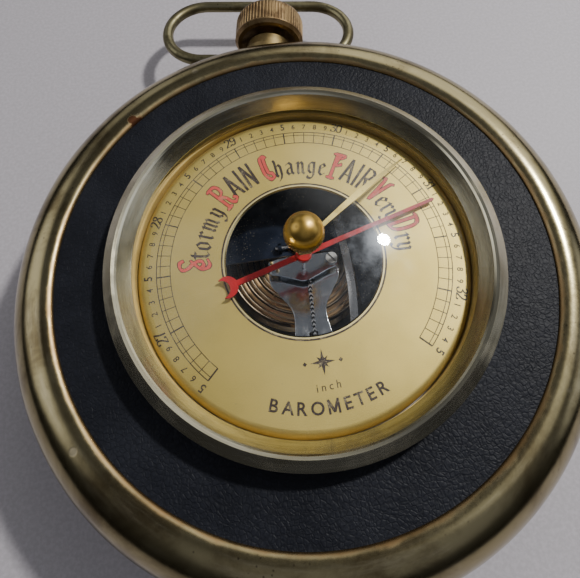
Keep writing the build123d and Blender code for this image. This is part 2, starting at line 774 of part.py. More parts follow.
with BuildPart() as rocker_bracket:
    with BuildSketch(Plane.XY.offset(base_top_z)):
        with Locations((0, ROCKER_Y)):
            Rectangle(15, 4.6)
        with Locations(*bracket_spots):
            Circle(BRACKET_SCREW_R + LOOSE, mode=Mode.SUBTRACT)
    extrude(amount=BRACKET_THICK)
    for side in (-1, 1):
        with BuildSketch(Plane.YZ.offset(side * 6.8 - 0.7)):
            with Locations((ROCKER_Y, (base_top_z + rocker_z) / 2)):
                Rectangle(4.0, rocker_z - base_top_z)
            with Locations((ROCKER_Y, rocker_z)):
                Circle(2.0)
                Circle(ROCKER_R + RUNNING, mode=Mode.SUBTRACT)
        extrude(amount=1.4)
save(rocker_bracket.part, "rocker_bracket")

bracket_screw = screw(BRACKET_SCREW_R, BRACKET_THICK + BASE_PLATE_THICK, 1.5, 0.9, slot=0.4)

with BuildPart() as bracket_screws:
    with Locations(*[(x, y, base_top_z + BRACKET_THICK) for x, y in bracket_spots]):
        add(bracket_screw)
save(bracket_screws.part, "bracket_screws")

# ---------------------------------------------------------------- bridge, cock and arbor
cock_post = (8.0, 1.4)

with BuildPart() as bridge_plate:
    with BuildSketch(Plane.XY.offset(plate_z)):
        with BuildLine():
            flank = Spline(
                (6.0, -24.0), (4.9, -16.5), (4.6, -11.0), (7.2, -6.4), (9.6, -2.6), (9.4, 1.6),
                (7.4, 3.9),
                tangents=[(0, 1), (-1, 0.1)],
            )
            mirror(flank, about=Plane.YZ)
            Line((7.4, 3.9), (-7.4, 3.9))
            Polyline((6.0, -24.0), (6.0, -30.0), (-6.0, -30.0), (-6.0, -24.0))
        make_face()
        with Locations((0, 0)):
            Circle(ARBOR_R + RUNNING, mode=Mode.SUBTRACT)
        with Locations((0, (ROCKER_Y + 1.0))):
            Rectangle(2.2, 6.0, mode=Mode.SUBTRACT)
        with Locations(*BRIDGE_PILLAR_SPOTS):
            Circle(BRIDGE_SCREW_R + LOOSE, mode=Mode.SUBTRACT)
    extrude(amount=PLATE_THICK)
save(bridge_plate.part, "bridge_plate")

with BuildPart() as bridge_pillars:
    with BuildSketch(Plane.XY.offset(base_top_z)):
        with Locations(*BRIDGE_PILLAR_SPOTS):
            Circle(1.9)
    extrude(amount=plate_z - base_top_z)
    with BuildSketch(Plane.XY.offset(floor_z)):
        with Locations(*BRIDGE_PILLAR_SPOTS):
            Circle(BRIDGE_SCREW_R)
    extrude(amount=BASE_PLATE_THICK)
    with BuildSketch(Plane.XY.offset(plate_z - 4)):
        with Locations(*BRIDGE_PILLAR_SPOTS):
            Circle(BRIDGE_SCREW_R)
    extrude(amount=4, mode=Mode.SUBTRACT)
save(bridge_pillars.part, "bridge_pillars")

bridge_screw = screw(BRIDGE_SCREW_R, PLATE_THICK + 3.5, 1.8, 1.0)

with BuildPart() as bridge_screws:
    with Locations(*BRIDGE_PILLAR_SPOTS):
        with Locations((0, 0, plate_top_z)):
            add(bridge_screw)
save(bridge_screws.part, "bridge_screws")

with BuildPart() as cock_posts:
    with BuildSketch(Plane.XY.offset(plate_top_z)):
        with Locations(cock_post, (-cock_post[0], cock_post[1])):
            Circle(1.3)
    extrude(amount=cock_z - plate_top_z)
save(cock_posts.part, "cock_posts")

with BuildPart() as arbor_cock:
    with BuildSketch(Plane.XY.offset(cock_z)):
        with BuildLine():
            Polyline(
                (-9.4, -0.6),
                (-6.6, -1.3),
                (-0.9, -3.6),
                (0.9, -3.6),
                (6.6, -1.3),
                (9.4, -0.6),
                (9.4, 2.8),
                (6.4, 3.4),
                (-6.4, 3.4),
                (-9.4, 2.8),
                close=True,
            )
        make_face()
        with Locations((0, 0)):
            Circle(ARBOR_R + RUNNING, mode=Mode.SUBTRACT)
    extrude(amount=PLATE_THICK)
    fillet(arbor_cock.edges().filter_by(Axis.Z).group_by(SortBy.LENGTH)[-1], 0.5)
save(arbor_cock.part, "arbor_cock")

with BuildPart() as cock_screw:
    with BuildSketch(Plane.XY.offset(cock_top_z)):
        with Locations(cock_post):
            Circle(COCK_SCREW_HEAD_R)
    extrude(amount=COCK_SCREW_HEAD)
    with BuildSketch(Plane.XY.offset(cock_top_z + COCK_SCREW_HEAD)):
        with Locations(cock_post):
            Rectangle(3 * COCK_SCREW_HEAD_R, 0.5, rotation=-55)
    extrude(amount=-COCK_SCREW_HEAD / 2, mode=Mode.SUBTRACT)
save(cock_screw.part, "cock_screw")

with BuildPart() as cock_pins:
    with BuildSketch(Plane.XY.offset(cock_top_z)):
        with Locations((-8.6, 2.0), (-7.2, 0.4)):
            Circle(0.45)
    extrude(amount=1.8)
    fillet(cock_pins.edges().group_by(Axis.Z)[-1], 0.2)
save(cock_pins.part, "cock_pins")

hand_z = DIAL_HEIGHT + HAND_RISE
hub_top_z = hand_z + HAND_THICK + 0.7
spring_coil_z = plate_z - 2.4

with BuildPart() as pointer_arbor:
    with BuildSketch(Plane.XY.offset(spring_coil_z - 0.8)):
        Circle(ARBOR_R)
    extrude(amount=hub_top_z - 0.2 - spring_coil_z + 0.8)
save(pointer_arbor.part, "pointer_arbor")

with BuildPart() as chain_drum:
    disc(ARBOR_R, DRUM_R, plate_top_z + 0.4, cock_z - 0.3)
    disc(ARBOR_R, DRUM_R + 0.5, plate_top_z + 0.4, plate_top_z + 0.7)
save(chain_drum.part, "chain_drum")

with BuildPart() as hair_collet:
    disc(ARBOR_R, 0.9, spring_coil_z - 0.2, spring_coil_z + 0.8)
save(hair_collet.part, "hair_collet")

spiral = [
    (
        (0.95 + (HAIRSPRING_R - 0.95) * k / (12 * HAIRSPRING_TURNS)) * cos(radians(30 * k)),
        (0.95 + (HAIRSPRING_R - 0.95) * k / (12 * HAIRSPRING_TURNS)) * sin(radians(30 * k)),
    )
    for k in range(12 * HAIRSPRING_TURNS + 1)
]

with BuildPart() as hairspring:
    with BuildSketch(Plane.XY.offset(spring_coil_z)):
        with BuildLine():
            Spline(spiral)
        trace(line_width=0.12)
    extrude(amount=0.5)
save(hairspring.part, "hairspring")

with BuildPart() as hairspring_stud:
    with BuildSketch(Plane.XY.offset(spring_coil_z - 0.2)):
        with Locations((HAIRSPRING_R + 0.65, 0)):
            Rectangle(1.1, 1.1)
    extrude(amount=plate_z - spring_coil_z + 0.2)
save(hairspring_stud.part, "hairspring_stud")

chain_start = Vector(DRUM_R + 0.45 + 0.02, 0, chain_z)
chain_end = Vector(0.1, ROCKER_Y + 0.75, chain_z)
chain_run = chain_end - chain_start
chain_plane = Plane(origin=(chain_start + chain_end) / 2, x_dir=chain_run, z_dir=(0, 0, 1))

with BuildPart() as chain:
    with Locations(chain_plane):
        Box(chain_run.length, 0.9, 0.45)
save(chain.part, "chain")

# ---------------------------------------------------------------- hands
hand_plane = Plane.XY.offset(hand_z).rotated((0, 0, -HAND_REST_ANGLE))
fork_y = -21.1

with BuildPart() as indicator_hand:
    with BuildSketch(hand_plane):
        with BuildLine():
            Polyline(
                (-0.75, 0),
                (-0.75, fork_y + FORK_R - 0.4),
                (0.75, fork_y + FORK_R - 0.4),
                (0.75, 0),
                (0.55, HAND_TIP_R * 0.6),
                (0.45, HAND_TIP_R - 0.6),
                (0, HAND_TIP_R),
                (-0.45, HAND_TIP_R - 0.6),
                (-0.55, HAND_TIP_R * 0.6),
                close=True,
            )
        make_face()
        with Locations((0, fork_y)):
            Circle(FORK_R)
        with Locations((0, fork_y - 0.58 * FORK_R)):
            Circle(FORK_R * 0.82, mode=Mode.SUBTRACT)
        with Locations((0, fork_y - 2 * FORK_R)):
            Rectangle(4 * FORK_R, 2 * FORK_R + 2.6, mode=Mode.SUBTRACT)
    extrude(amount=HAND_THICK)
    with BuildSketch(Plane.XY.offset(hand_z - 0.3)):
        Circle(2.1)
    extrude(amount=hub_top_z - hand_z + 0.3)
    fillet(indicator_hand.edges().group_by(Axis.Z)[-1], 0.35)
    with BuildSketch(Plane.XY.offset(hand_z - 2.2)):
        Circle(1.1)
    extrude(amount=2.2)
    with BuildSketch(Plane.XY.offset(hand_z - 2.2)):
        Circle(ARBOR_R)
    extrude(amount=hub_top_z - 0.2 - hand_z + 2.2, mode=Mode.SUBTRACT)
save(indicator_hand.part, "indicator_hand")

set_top_r = glass_inner_r - 0.85     # sphere of the set hand's upper face
set_low_r = set_top_r - 0.35
bush_r = GLASS_HOLE_R - RUNNING
set_plane = Plane.XY.rotated((0, 0, -SET_HAND_ANGLE))

with BuildPart() as set_hand:
    # A blade cut from a shell that follows the glass
    with BuildSketch(set_plane):
        with BuildLine():
            Polyline(
                (-0.5, 0),
                (-0.5, 4),
                (-0.85, 20),
                (-0.15, SET_HAND_TIP_R),
                (0.15, SET_HAND_TIP_R),
                (0.85, 20),
                (0.5, 4),
                (0.5, 0),
                close=True,
            )
        make_face()
        Circle(3.0)
        Circle(bush_r, mode=Mode.SUBTRACT)
    extrude(amount=glass_apex_z)
    with BuildSketch(Plane.XZ):
        with BuildLine():
            Line((0, glass_centre_z + set_low_r), (0, glass_centre_z + set_top_r))
            RadiusArc(
                (0, glass_centre_z + set_top_r),
                (SET_HAND_TIP_R + 1, sphere_height(set_top_r, SET_HAND_TIP_R + 1)),
                set_top_r,
            )
            Line(
                (SET_HAND_TIP_R + 1, sphere_height(set_top_r, SET_HAND_TIP_R + 1)),
                (SET_HAND_TIP_R + 1, sphere_height(set_low_r, SET_HAND_TIP_R + 1)),
            )
            RadiusArc(
                (0, glass_centre_z + set_low_r),
                (SET_HAND_TIP_R + 1, sphere_height(set_low_r, SET_HAND_TIP_R + 1)),
                set_low_r,
            )
        make_face()
    revolve(axis=Axis.Z, mode=Mode.INTERSECT)
save(set_hand.part, "set_hand")

set_centre_z = glass_centre_z + set_low_r

with BuildPart() as set_washer:
    disc(bush_r, 3.0, glass_centre_z + set_top_r + 0.02, glass_centre_z + glass_inner_r - 0.1)
save(set_washer.part, "set_washer")

with BuildPart() as set_nut:
    with BuildSketch(Plane.XY.offset(set_centre_z - 1.15)):
        RegularPolygon(3.0, 6)
        Circle(bush_r, mode=Mode.SUBTRACT)
    extrude(amount=1.1)
save(set_nut.part, "set_nut")

washer_z = glass_apex_z + 0.02
knob_z = washer_z + 0.6
knob_rim_z = knob_z + 1.8
knob_dome_z = knob_rim_z + 2.2

with BuildPart() as glass_washer:
    disc(bush_r + RUNNING, 4.0, washer_z, knob_z)
save(glass_washer.part, "glass_washer")

with BuildPart() as set_knob:
    with BuildSketch(Plane.XZ):
        with BuildLine():
            Polyline(
                (0, set_centre_z - 1.6),
                (bush_r, set_centre_z - 1.6),
                (bush_r, knob_z),
                (3.2, knob_z),
                (3.2, knob_rim_z),
                (KNOB_R, knob_rim_z + 0.3),
                (KNOB_R, knob_dome_z - 0.2),
                (KNOB_R - 0.2, knob_dome_z),
            )
            RadiusArc((0, knob_dome_z + KNOB_R - 0.2), (KNOB_R - 0.2, knob_dome_z), KNOB_R - 0.2)
            Line((0, knob_dome_z + KNOB_R - 0.2), (0, set_centre_z - 1.6))
        make_face()
    revolve(axis=Axis.Z)
    with BuildSketch(Plane.XY.offset(knob_rim_z)):
        with PolarLocations(KNOB_R + 0.1, KNOB_TEETH):
            Circle(0.26)
    extrude(amount=knob_dome_z - knob_rim_z, mode=Mode.SUBTRACT)
save(set_knob.part, "set_knob")

# ---------------------------------------------------------------- pendant
crown_near = NECK_LENGTH + CROWN_GAP
stem_r = 1.6
bow_axis = Plane(
    origin=pendant.from_local_coords((0, BOW_HOLE_OFFSET, BOW_HOLE_REACH)),
    x_dir=(0, 0, 1),
    z_dir=pendant.x_dir,
)

with BuildPart() as pendant_neck:
    with BuildSketch(Plane(origin=pendant.origin - pendant.z_dir * 8, x_dir=pendant.x_dir,
                           z_dir=pendant.z_dir)):
        Circle(NECK_R)
    extrude(amount=NECK_LENGTH + 8)
    chamfer(pendant_neck.edges().sort_by(Axis.Y)[-1], 0.8)
    with BuildSketch(pendant):
        Circle(NECK_R + 1.2)
    extrude(amount=0.9)
    with BuildSketch(pendant):
        Circle(NECK_R + 1.2)
    extrude(amount=-8)
    add(rim_form.part, mode=Mode.SUBTRACT)
    spigot_inner_y = CORE_BORE_R - 4.6
    with BuildSketch(Plane(origin=(0, spigot_inner_y, pendant.origin.Z), z_dir=(0, 1, 0))):
        Circle(SPIGOT_R)
    extrude(amount=RIM_OUTER_R - spigot_inner_y)
    with Locations(bow_axis):
        Cylinder(BOW_WIRE_R + RUNNING, 4 * NECK_R, mode=Mode.SUBTRACT)
    with BuildSketch(Plane(origin=pendant.origin - pendant.z_dir * 3, x_dir=pendant.x_dir,
                           z_dir=pendant.z_dir)):
        Circle(stem_r + RUNNING)
    extrude(amount=NECK_LENGTH + 6, mode=Mode.SUBTRACT)
save(pendant_neck.part, "pendant_neck")

with BuildPart() as neck_nut:
    with BuildSketch(Plane(origin=(0, spigot_inner_y + 0.8, pendant.origin.Z), z_dir=(0, 1, 0))):
        RegularPolygon(SPIGOT_R + 2.6, 6)
        Circle(SPIGOT_R, mode=Mode.SUBTRACT)
    extrude(amount=3.2)
save(neck_nut.part, "neck_nut")

with BuildPart() as crown:
    with BuildSketch(Plane(origin=pendant.origin + pendant.z_dir * crown_near, x_dir=pendant.x_dir,
                           z_dir=pendant.z_dir)):
        Circle(CROWN_R)
    extrude(amount=CROWN_LENGTH)
    fillet(crown.edges().sort_by(Axis.Y)[-1], 3.5)
    chamfer(crown.edges().filter_by(GeomType.CIRCLE).sort_by(Axis.Y)[0], 1.0)
    # Dished face towards the case, and the stem in the neck
    with Locations(Plane(origin=pendant.origin + pendant.z_dir * (crown_near - 14),
                         z_dir=pendant.z_dir)):
        Sphere(sqrt(14**2 + 9.5**2), mode=Mode.SUBTRACT)
    with BuildSketch(Plane(origin=pendant.origin - pendant.z_dir * 2.8, x_dir=pendant.x_dir,
                           z_dir=pendant.z_dir)):
        Circle(stem_r)
    extrude(amount=crown_near + 8)
    with BuildSketch(Plane(origin=pendant.origin + pendant.z_dir * (NECK_LENGTH + 0.3),
                           x_dir=pendant.x_dir, z_dir=pendant.z_dir)):
        Circle(3.4)
    extrude(amount=6)
    # Fluted grip
    with BuildSketch(Plane(origin=pendant.origin + pendant.z_dir * (crown_near + 1.5),
                           x_dir=pendant.x_dir, z_dir=pendant.z_dir)):
        with PolarLocations(CROWN_R + 0.12, CROWN_FLUTES):
            Circle(0.38)
    extrude(amount=CROWN_LENGTH, mode=Mode.SUBTRACT)
save(crown.part, "crown")

bow_tilt = radians(BOW_TILT)
bow_reach = pendant.z_dir * cos(bow_tilt) + Vector(0, 0, 1) * sin(bow_tilt)
bow_plane = Plane(
    origin=bow_axis.origin + pendant.x_dir * BOW_SHIFT,
    x_dir=pendant.x_dir,
    z_dir=pendant.x_dir.cross(bow_reach),
)
bow_straight = BOW_HALF_WIDTH - BOW_HALF_HEIGHT
bow_height = 2 * BOW_HALF_HEIGHT

with BuildPart() as bow:
    for side in (-1, 1):
        with BuildLine(bow_plane) as half_loop:
            Line((0, 0), (side * bow_straight, 0))
            ThreePointArc(
                (side * bow_straight, 0),
                (side * BOW_HALF_WIDTH, BOW_HALF_HEIGHT),
                (side * bow_straight, bow_height),
            )
            Line((side * bow_straight, bow_height), (0, bow_height))
        with BuildSketch(Plane(origin=bow_plane.origin, z_dir=bow_plane.x_dir)):
            Circle(BOW_WIRE_R)
        sweep(path=half_loop.line)
save(bow.part, "bow")
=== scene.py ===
"""Looks for the ship's barometer: materials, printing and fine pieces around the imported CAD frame.

Lengths named here are in millimetres and turned to metres where meshes are made.
"""
import json
import math

import bpy
from mathutils import Matrix, Vector, noise


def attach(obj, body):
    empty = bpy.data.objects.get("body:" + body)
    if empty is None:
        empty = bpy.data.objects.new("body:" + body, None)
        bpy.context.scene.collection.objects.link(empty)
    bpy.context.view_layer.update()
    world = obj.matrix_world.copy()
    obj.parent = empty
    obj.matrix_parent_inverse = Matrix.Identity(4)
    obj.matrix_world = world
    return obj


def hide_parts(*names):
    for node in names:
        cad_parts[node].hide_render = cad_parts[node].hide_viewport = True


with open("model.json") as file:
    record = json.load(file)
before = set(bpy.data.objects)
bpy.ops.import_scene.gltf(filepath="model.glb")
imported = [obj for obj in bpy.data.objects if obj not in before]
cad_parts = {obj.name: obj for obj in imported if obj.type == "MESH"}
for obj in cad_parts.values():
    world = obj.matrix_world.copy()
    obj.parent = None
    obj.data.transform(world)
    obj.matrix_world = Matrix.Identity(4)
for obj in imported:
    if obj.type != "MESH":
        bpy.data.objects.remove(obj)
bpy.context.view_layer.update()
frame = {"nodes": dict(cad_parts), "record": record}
nodes = frame["nodes"]
MM = 0.001
TAU = 2 * math.pi

# ---- dimensions, as in the part
DIAL_Z = 35.0
DIAL_FLAT_R = 41.4
DIAL_CORNER = 2.0
RIM_INNER_R, RIM_CREST_R, RIM_OUTER_R, RIM_FOOT_R = 64.5, 67.5, 78.1, 70.0
RIM_RISE, RIM_DROP, RIM_WALL, RIM_FOOT_Z = 1.4, 12.0, 1.4, 1.1
WIDEST_Z = DIAL_Z - RIM_DROP
BOARD_HOLE_R, BOARD_EDGE_R, LEATHER_THICK = 46.95, 66.4, 0.8
GLASS_APEX_Z, GLASS_THICK, GLASS_EDGE_R, GLASS_SEAT_Z, GLASS_HOLE_R = 48.0, 1.8, 45.6, 36.0, 2.1
GLASS_SHOULDER_Z = GLASS_SEAT_Z + GLASS_THICK - 0.1
CAPSULE_R, CAPSULE_THICK, CAPSULE_Y, CAPSULE_WAVES = 22.5, 7.0, 8.0, 5
CAPSULE_MID_Z = 11.5
CAPSULE_SKIN = 0.3
BRIDGE_Z, BRIDGE_THICK = 22.0, 0.8
CHAIN_Z = 24.2
CHAIN_START, CHAIN_END = (1.32, 0.0), (0.1, -20.25)
PENDANT_OUT = Vector((0.156434, 0.987688, 0))
PENDANT_SIDE = Vector((0.987688, -0.156434, 0))
BOW_ROOT = Vector((0.563164, 81.6557, 16.6))
BOW_HALF_WIDTH, BOW_HALF_HEIGHT, BOW_WIRE_R, BOW_SHIFT, BOW_TILT = 33.4, 13.8, 2.0, -4.7, -4.0

glass_rise = GLASS_APEX_Z - GLASS_SHOULDER_Z
GLASS_OUTER_R = (GLASS_EDGE_R**2 + glass_rise**2) / (2 * glass_rise)
GLASS_CENTRE_Z = GLASS_APEX_Z - GLASS_OUTER_R
GLASS_INNER_R = GLASS_OUTER_R - GLASS_THICK

# Links and chevron of the visual chain only
CHAIN_LINKS, CHEVRON_PITCH = 17, 1.19


# ---- materials
class Tree:
    """Short calls for building one node tree."""

    def __init__(self, tree):
        self.tree = tree
        tree.nodes.clear()

    def node(self, kind, inputs=None, **settings):
        """New shader node, with inputs given by name or number set to a value or linked."""
        made = self.tree.nodes.new("ShaderNode" + kind)
        for key, value in settings.items():
            setattr(made, key, value)
        for key, value in (inputs or {}).items():
            self.feed(made.inputs[key], value)
        return made

    def link(self, source, target):
        self.tree.links.new(source, target)

    def feed(self, socket, value):
        if isinstance(value, bpy.types.NodeSocket):
            self.link(value, socket)
        else:
            socket.default_value = value

    def vector(self, operation, a, b=None, output=0):
        inputs = {0: a} if b is None else {0: a, 1: b}
        return self.node("VectorMath", inputs, operation=operation).outputs[output]


class Graph(Tree):
    """A node material around one Principled shader, with short calls for its textures."""

    def __init__(self, name, roughness=0.4, metallic=0.0, **sockets):
        self.material = bpy.data.materials.new(name)
        self.material.use_nodes = True
        super().__init__(self.material.node_tree)
        self.out = self.node("OutputMaterial")
        self.shader = self.node("BsdfPrincipled", {"Roughness": roughness, "Metallic": metallic})
        self.link(self.shader.outputs[0], self.out.inputs["Surface"])
        for key, value in sockets.items():
            self.shader.inputs[key.replace("_", " ")].default_value = value
        self.where = self.node("TexCoord").outputs["Object"]

    def math(self, operation, a, b=0.0, clamp=False):
        return self.node("Math", {0: a, 1: b}, operation=operation, use_clamp=clamp).outputs[0]

    def noise(self, scale, detail=4.0, roughness=0.55, vector=None, distortion=0.0):
        inputs = {"Vector": vector or self.where, "Scale": scale, "Detail": detail, "Roughness": roughness,
                  "Distortion": distortion}
        return self.node("TexNoise", inputs).outputs["Fac"]

    def cells(self, scale, feature="F1", vector=None):
        inputs = {"Vector": vector or self.where, "Scale": scale, "Randomness": 1.0}
        return self.node("TexVoronoi", inputs, feature=feature).outputs["Distance"]

    def ramp(self, value, low, high):
        """0 below low, 1 above high, smooth between."""
        inputs = {"Value": value, "From Min": low, "From Max": high}
        return self.node("MapRange", inputs, interpolation_type="SMOOTHSTEP").outputs["Result"]

    def between(self, value, low, high):
        """Maps 0..1 to low..high."""
        return self.node("MapRange", {"Value": value, "To Min": low, "To Max": high}).outputs["Result"]

    def mix(self, factor, a, b):
        a, b = (c if isinstance(c, bpy.types.NodeSocket) else (*c, 1) for c in (a, b))
        return self.node("Mix", {0: factor, 6: a, 7: b}, data_type="RGBA").outputs[2]

    def scaled(self, x, y, z, vector=None):
        return self.vector("MULTIPLY", vector or self.where, (x, y, z))

    def polar(self, around, across, centre_y=0.0):
        """(radius in metres, a vector whose noise makes streaks round the Z axis, height)."""
        moved = self.vector("SUBTRACT", self.where, (0, centre_y * MM, 0))
        parts = self.node("SeparateXYZ", {0: moved}).outputs
        flat = self.node("CombineXYZ", {0: parts[0], 1: parts[1]}).outputs[0]
        radius = self.vector("LENGTH", flat, output="Value")
        unit = self.vector("NORMALIZE", flat)
        spread = self.node("VectorMath", {0: unit, "Scale": around}, operation="SCALE")
        depth = self.math("MULTIPLY", self.math("ADD", radius, parts[2]), across)
        bands = self.node("CombineXYZ", {2: depth}).outputs[0]
        return radius, self.vector("ADD", spread.outputs[0], bands), parts[2]

    def bump(self, height, strength, distance_mm):
        made = self.node("Bump", {"Strength": strength, "Distance": distance_mm * MM, "Height": height})
        previous = self.shader.inputs["Normal"]
        if previous.is_linked:
            self.link(previous.links[0].from_socket, made.inputs["Normal"])
        self.link(made.outputs[0], previous)

    def colour(self, value):
        self.feed(self.shader.inputs["Base Color"], value)

    def rough(self, value):
        self.feed(self.shader.inputs["Roughness"], value)


def metal(name, bright, dull, roughness, tarnish=(0.45, 0.7), scale=90.0, grain=900.0, bumpy=0.15):
    """Worked metal: patchy tarnish, fine grain and small marks."""
    g = Graph(name, roughness=roughness, metallic=1.0)
    patches = g.ramp(g.noise(scale, 7.0, 0.62, distortion=0.4), *tarnish)
    fine = g.noise(grain, 3.0, 0.6)
    spots = g.ramp(g.cells(grain * 0.45), 0.10, 0.22)
    tone = g.mix(patches, bright, dull)
    tone = g.mix(g.math("MULTIPLY", g.between(fine, 0.0, 0.5), 0.5), tone, dull)
    g.colour(g.mix(g.between(spots, 0.35, 0.0), tone, tuple(c * 0.35 for c in dull)))
    g.rough(g.math("ADD", g.between(patches, roughness, roughness + 0.18),
                   g.between(fine, -0.05, 0.08)))
    g.bump(fine, bumpy, 0.03)
    return g.material


def turned(name, bright, dull, roughness, across=3000.0, aniso=0.5, centre_y=0.0, depth=0.25):
    """Lathe-turned metal with fine rings and long streaks round its axis."""
    g = Graph(name, roughness=roughness, metallic=1.0, Anisotropic=aniso)
    _, around, _ = g.polar(2.0, across, centre_y)
    _, wide, _ = g.polar(3.0, across * 0.12, centre_y)
    rings = g.noise(1.0, 4.0, 0.6, around)
    streaks = g.noise(1.0, 3.0, 0.6, wide)
    patches = g.ramp(g.noise(70.0, 6.0, 0.6), 0.48, 0.75)
    tone = g.mix(g.ramp(streaks, 0.35, 0.7), bright, dull)
    g.colour(g.mix(g.math("MULTIPLY", patches, 0.45), tone, tuple(c * 0.55 for c in dull)))
    g.rough(g.math("ADD", g.between(rings, roughness - 0.06, roughness + 0.10),
                   g.math("MULTIPLY", patches, 0.12)))
    g.bump(rings, depth, 0.02)
    g.shader.inputs["Anisotropic Rotation"].default_value = 0.25
    tangent = g.node("Tangent", direction_type="RADIAL", axis="Z")
    g.link(tangent.outputs[0], g.shader.inputs["Tangent"])
    return g.material


def rim_material():
    """Aged polished brass: cloudy and streaked, browner on the inner lip, with chips; darker brown low down
    as a painted dark reflection.
    """
    g = Graph("rim_brass", roughness=0.28, metallic=1.0)
    radius, around, height = g.polar(5.0, 700.0)
    streaks = g.noise(1.0, 5.0, 0.62, around)
    cloud = g.noise(38.0, 8.0, 0.66, distortion=0.6)
    fine = g.noise(700.0, 4.0, 0.65)
    tone = g.mix(g.ramp(cloud, 0.40, 0.66), (0.39, 0.335, 0.18), (0.17, 0.132, 0.066))
    tone = g.mix(g.math("MULTIPLY", g.ramp(streaks, 0.45, 0.75), 0.35), tone, (0.62, 0.55, 0.36))
    # Darker brown below the upper flank: painted dark reflection of the table and room
    low = g.ramp(height, 0.030, 0.018)
    tone = g.mix(g.math("MULTIPLY", low, 0.5), tone, (0.20, 0.155, 0.085))
    lip_edge = g.math("ADD", radius, g.between(g.noise(160.0, 5.0), -0.0012, 0.0012))
    lip = g.ramp(lip_edge, 0.0660, 0.0646)
    tone = g.mix(g.math("MULTIPLY", lip, 0.8), tone, (0.22, 0.135, 0.06))
    # Chips down to dull metal, in scattered patches
    chips = g.ramp(g.cells(105.0), 0.13, 0.07)
    chips = g.math("MULTIPLY", chips, g.ramp(g.noise(55.0, 3.0), 0.52, 0.60))
    tone = g.mix(g.math("MULTIPLY", chips, 0.55), tone, (0.55, 0.48, 0.33))
    specks = g.ramp(g.cells(620.0), 0.20, 0.08)
    specks = g.math("MULTIPLY", specks, g.ramp(g.noise(90.0, 4.0), 0.5, 0.62))
    tone = g.mix(g.math("MULTIPLY", specks, 0.7), tone, (0.09, 0.065, 0.04))
    # One rusty chip near 11 o'clock on the inner edge
    near = g.vector("DISTANCE", g.where, (-0.0427, 0.0494, 0.0357), "Value")
    rust_edge = g.math("ADD", near, g.between(g.noise(420.0, 4.0), -0.003, 0.003))
    rust = g.ramp(rust_edge, 0.0026, 0.0014)
    tone = g.mix(rust, tone, (0.065, 0.028, 0.014))
    g.colour(tone)
    wear = g.between(cloud, 0.10, 0.27)
    wear = g.math("ADD", wear, g.math("MULTIPLY", lip, 0.22))
    wear = g.math("ADD", wear, g.math("MULTIPLY", rust, 0.35))
    g.rough(g.math("ADD", wear, g.between(fine, -0.05, 0.05), clamp=True))
    g.bump(g.math("ADD", fine, g.math("MULTIPLY", chips, -1.5)), 0.16, 0.05)
    g.bump(g.noise(120.0, 3.0), 0.22, 0.12)
    return g.material


def leather_material():
    """Near-black navy leather: fine pebble, creases between its cells darkened with painted shade, cloudy
    sheen.
    """
    g = Graph("black_leather", roughness=0.5, Specular_IOR_Level=0.14)
    swirl = g.node("TexNoise", {"Vector": g.where, "Scale": 130.0, "Detail": 3.0}).outputs["Color"]
    warped = g.vector("ADD", g.where, g.scaled(0.003, 0.003, 0.003, swirl))
    pebble = g.cells(1500.0, "F1", warped)
    crease = g.ramp(g.cells(840.0, "DISTANCE_TO_EDGE", warped), 0.0, 0.20)
    fine = g.noise(3600.0, 3.0, 0.6)
    cloud = g.noise(45.0, 5.0, 0.6)
    tone = g.mix(g.ramp(cloud, 0.35, 0.7), (0.0070, 0.0080, 0.0120), (0.0130, 0.0145, 0.0205))
    # Darker in the creases: painted shade
    g.colour(g.mix(g.between(crease, 0.35, 0.0), tone, (0.003, 0.0035, 0.005)))
    g.rough(g.math("ADD", g.between(cloud, 0.40, 0.54), g.between(fine, -0.04, 0.08)))
    g.bump(fine, 0.12, 0.02)
    g.bump(pebble, 0.75, 0.08)
    g.bump(crease, 0.55, 0.07)
    return g.material


def dial_material():
    """Champagne-gold satin with a fine metallic grain, painted shade round its outer edge, and a bright cut
    edge at the aperture.
    """
    g = Graph("dial_gold", roughness=0.42, metallic=0.55)
    radius, _, height = g.polar(1.0, 100.0)
    grain = g.noise(5200.0, 2.0, 0.6)
    soft = g.noise(28.0, 4.0, 0.6)
    tone = g.mix(g.ramp(soft, 0.35, 0.68), (0.64, 0.49, 0.145), (0.50, 0.375, 0.10))
    tone = g.mix(g.math("MULTIPLY", g.ramp(grain, 0.45, 0.7), 0.35), tone, (0.88, 0.74, 0.28))
    tone = g.mix(g.math("MULTIPLY", g.ramp(grain, 0.45, 0.30), 0.25), tone, (0.32, 0.24, 0.09))
    marks = g.math("MULTIPLY", g.ramp(g.cells(260.0), 0.055, 0.03), 0.5)
    tone = g.mix(marks, tone, (0.30, 0.23, 0.12))
    # Darker towards the outer edge: painted shade from the bezel
    painted_edge_shade = g.ramp(radius, 0.0408, 0.0440)
    tone = g.mix(g.math("MULTIPLY", painted_edge_shade, 0.5), tone, (0.36, 0.26, 0.10))
    band = g.math("MULTIPLY", g.ramp(radius, 0.02112, 0.02104), 0.55)
    tone = g.mix(band, tone, (0.80, 0.70, 0.42))
    g.colour(tone)
    cut = g.ramp(radius, 0.02072, 0.02066)
    g.feed(g.shader.inputs["Metallic"], g.between(cut, 0.72, 1.0))
    g.rough(g.math("SUBTRACT", g.between(grain, 0.40, 0.54), g.math("MULTIPLY", cut, 0.3)))
    g.bump(grain, 0.10, 0.02)
    return g.material


def ink(name, tone, worn):
    """Printed ink, a little broken up where the gold shows through."""
    g = Graph(name, roughness=0.5)
    speckle = g.noise(4200.0, 3.0, 0.6)
    patch = g.noise(420.0, 3.0, 0.6)
    missing = g.ramp(g.math("ADD", g.math("MULTIPLY", speckle, 0.55), g.math("MULTIPLY", patch, 0.45)),
                     0.53, 0.62)
    g.colour(g.mix(g.math("MULTIPLY", missing, worn), tone, (0.56, 0.46, 0.26)))
    g.rough(g.between(speckle, 0.40, 0.62))
    return g.material


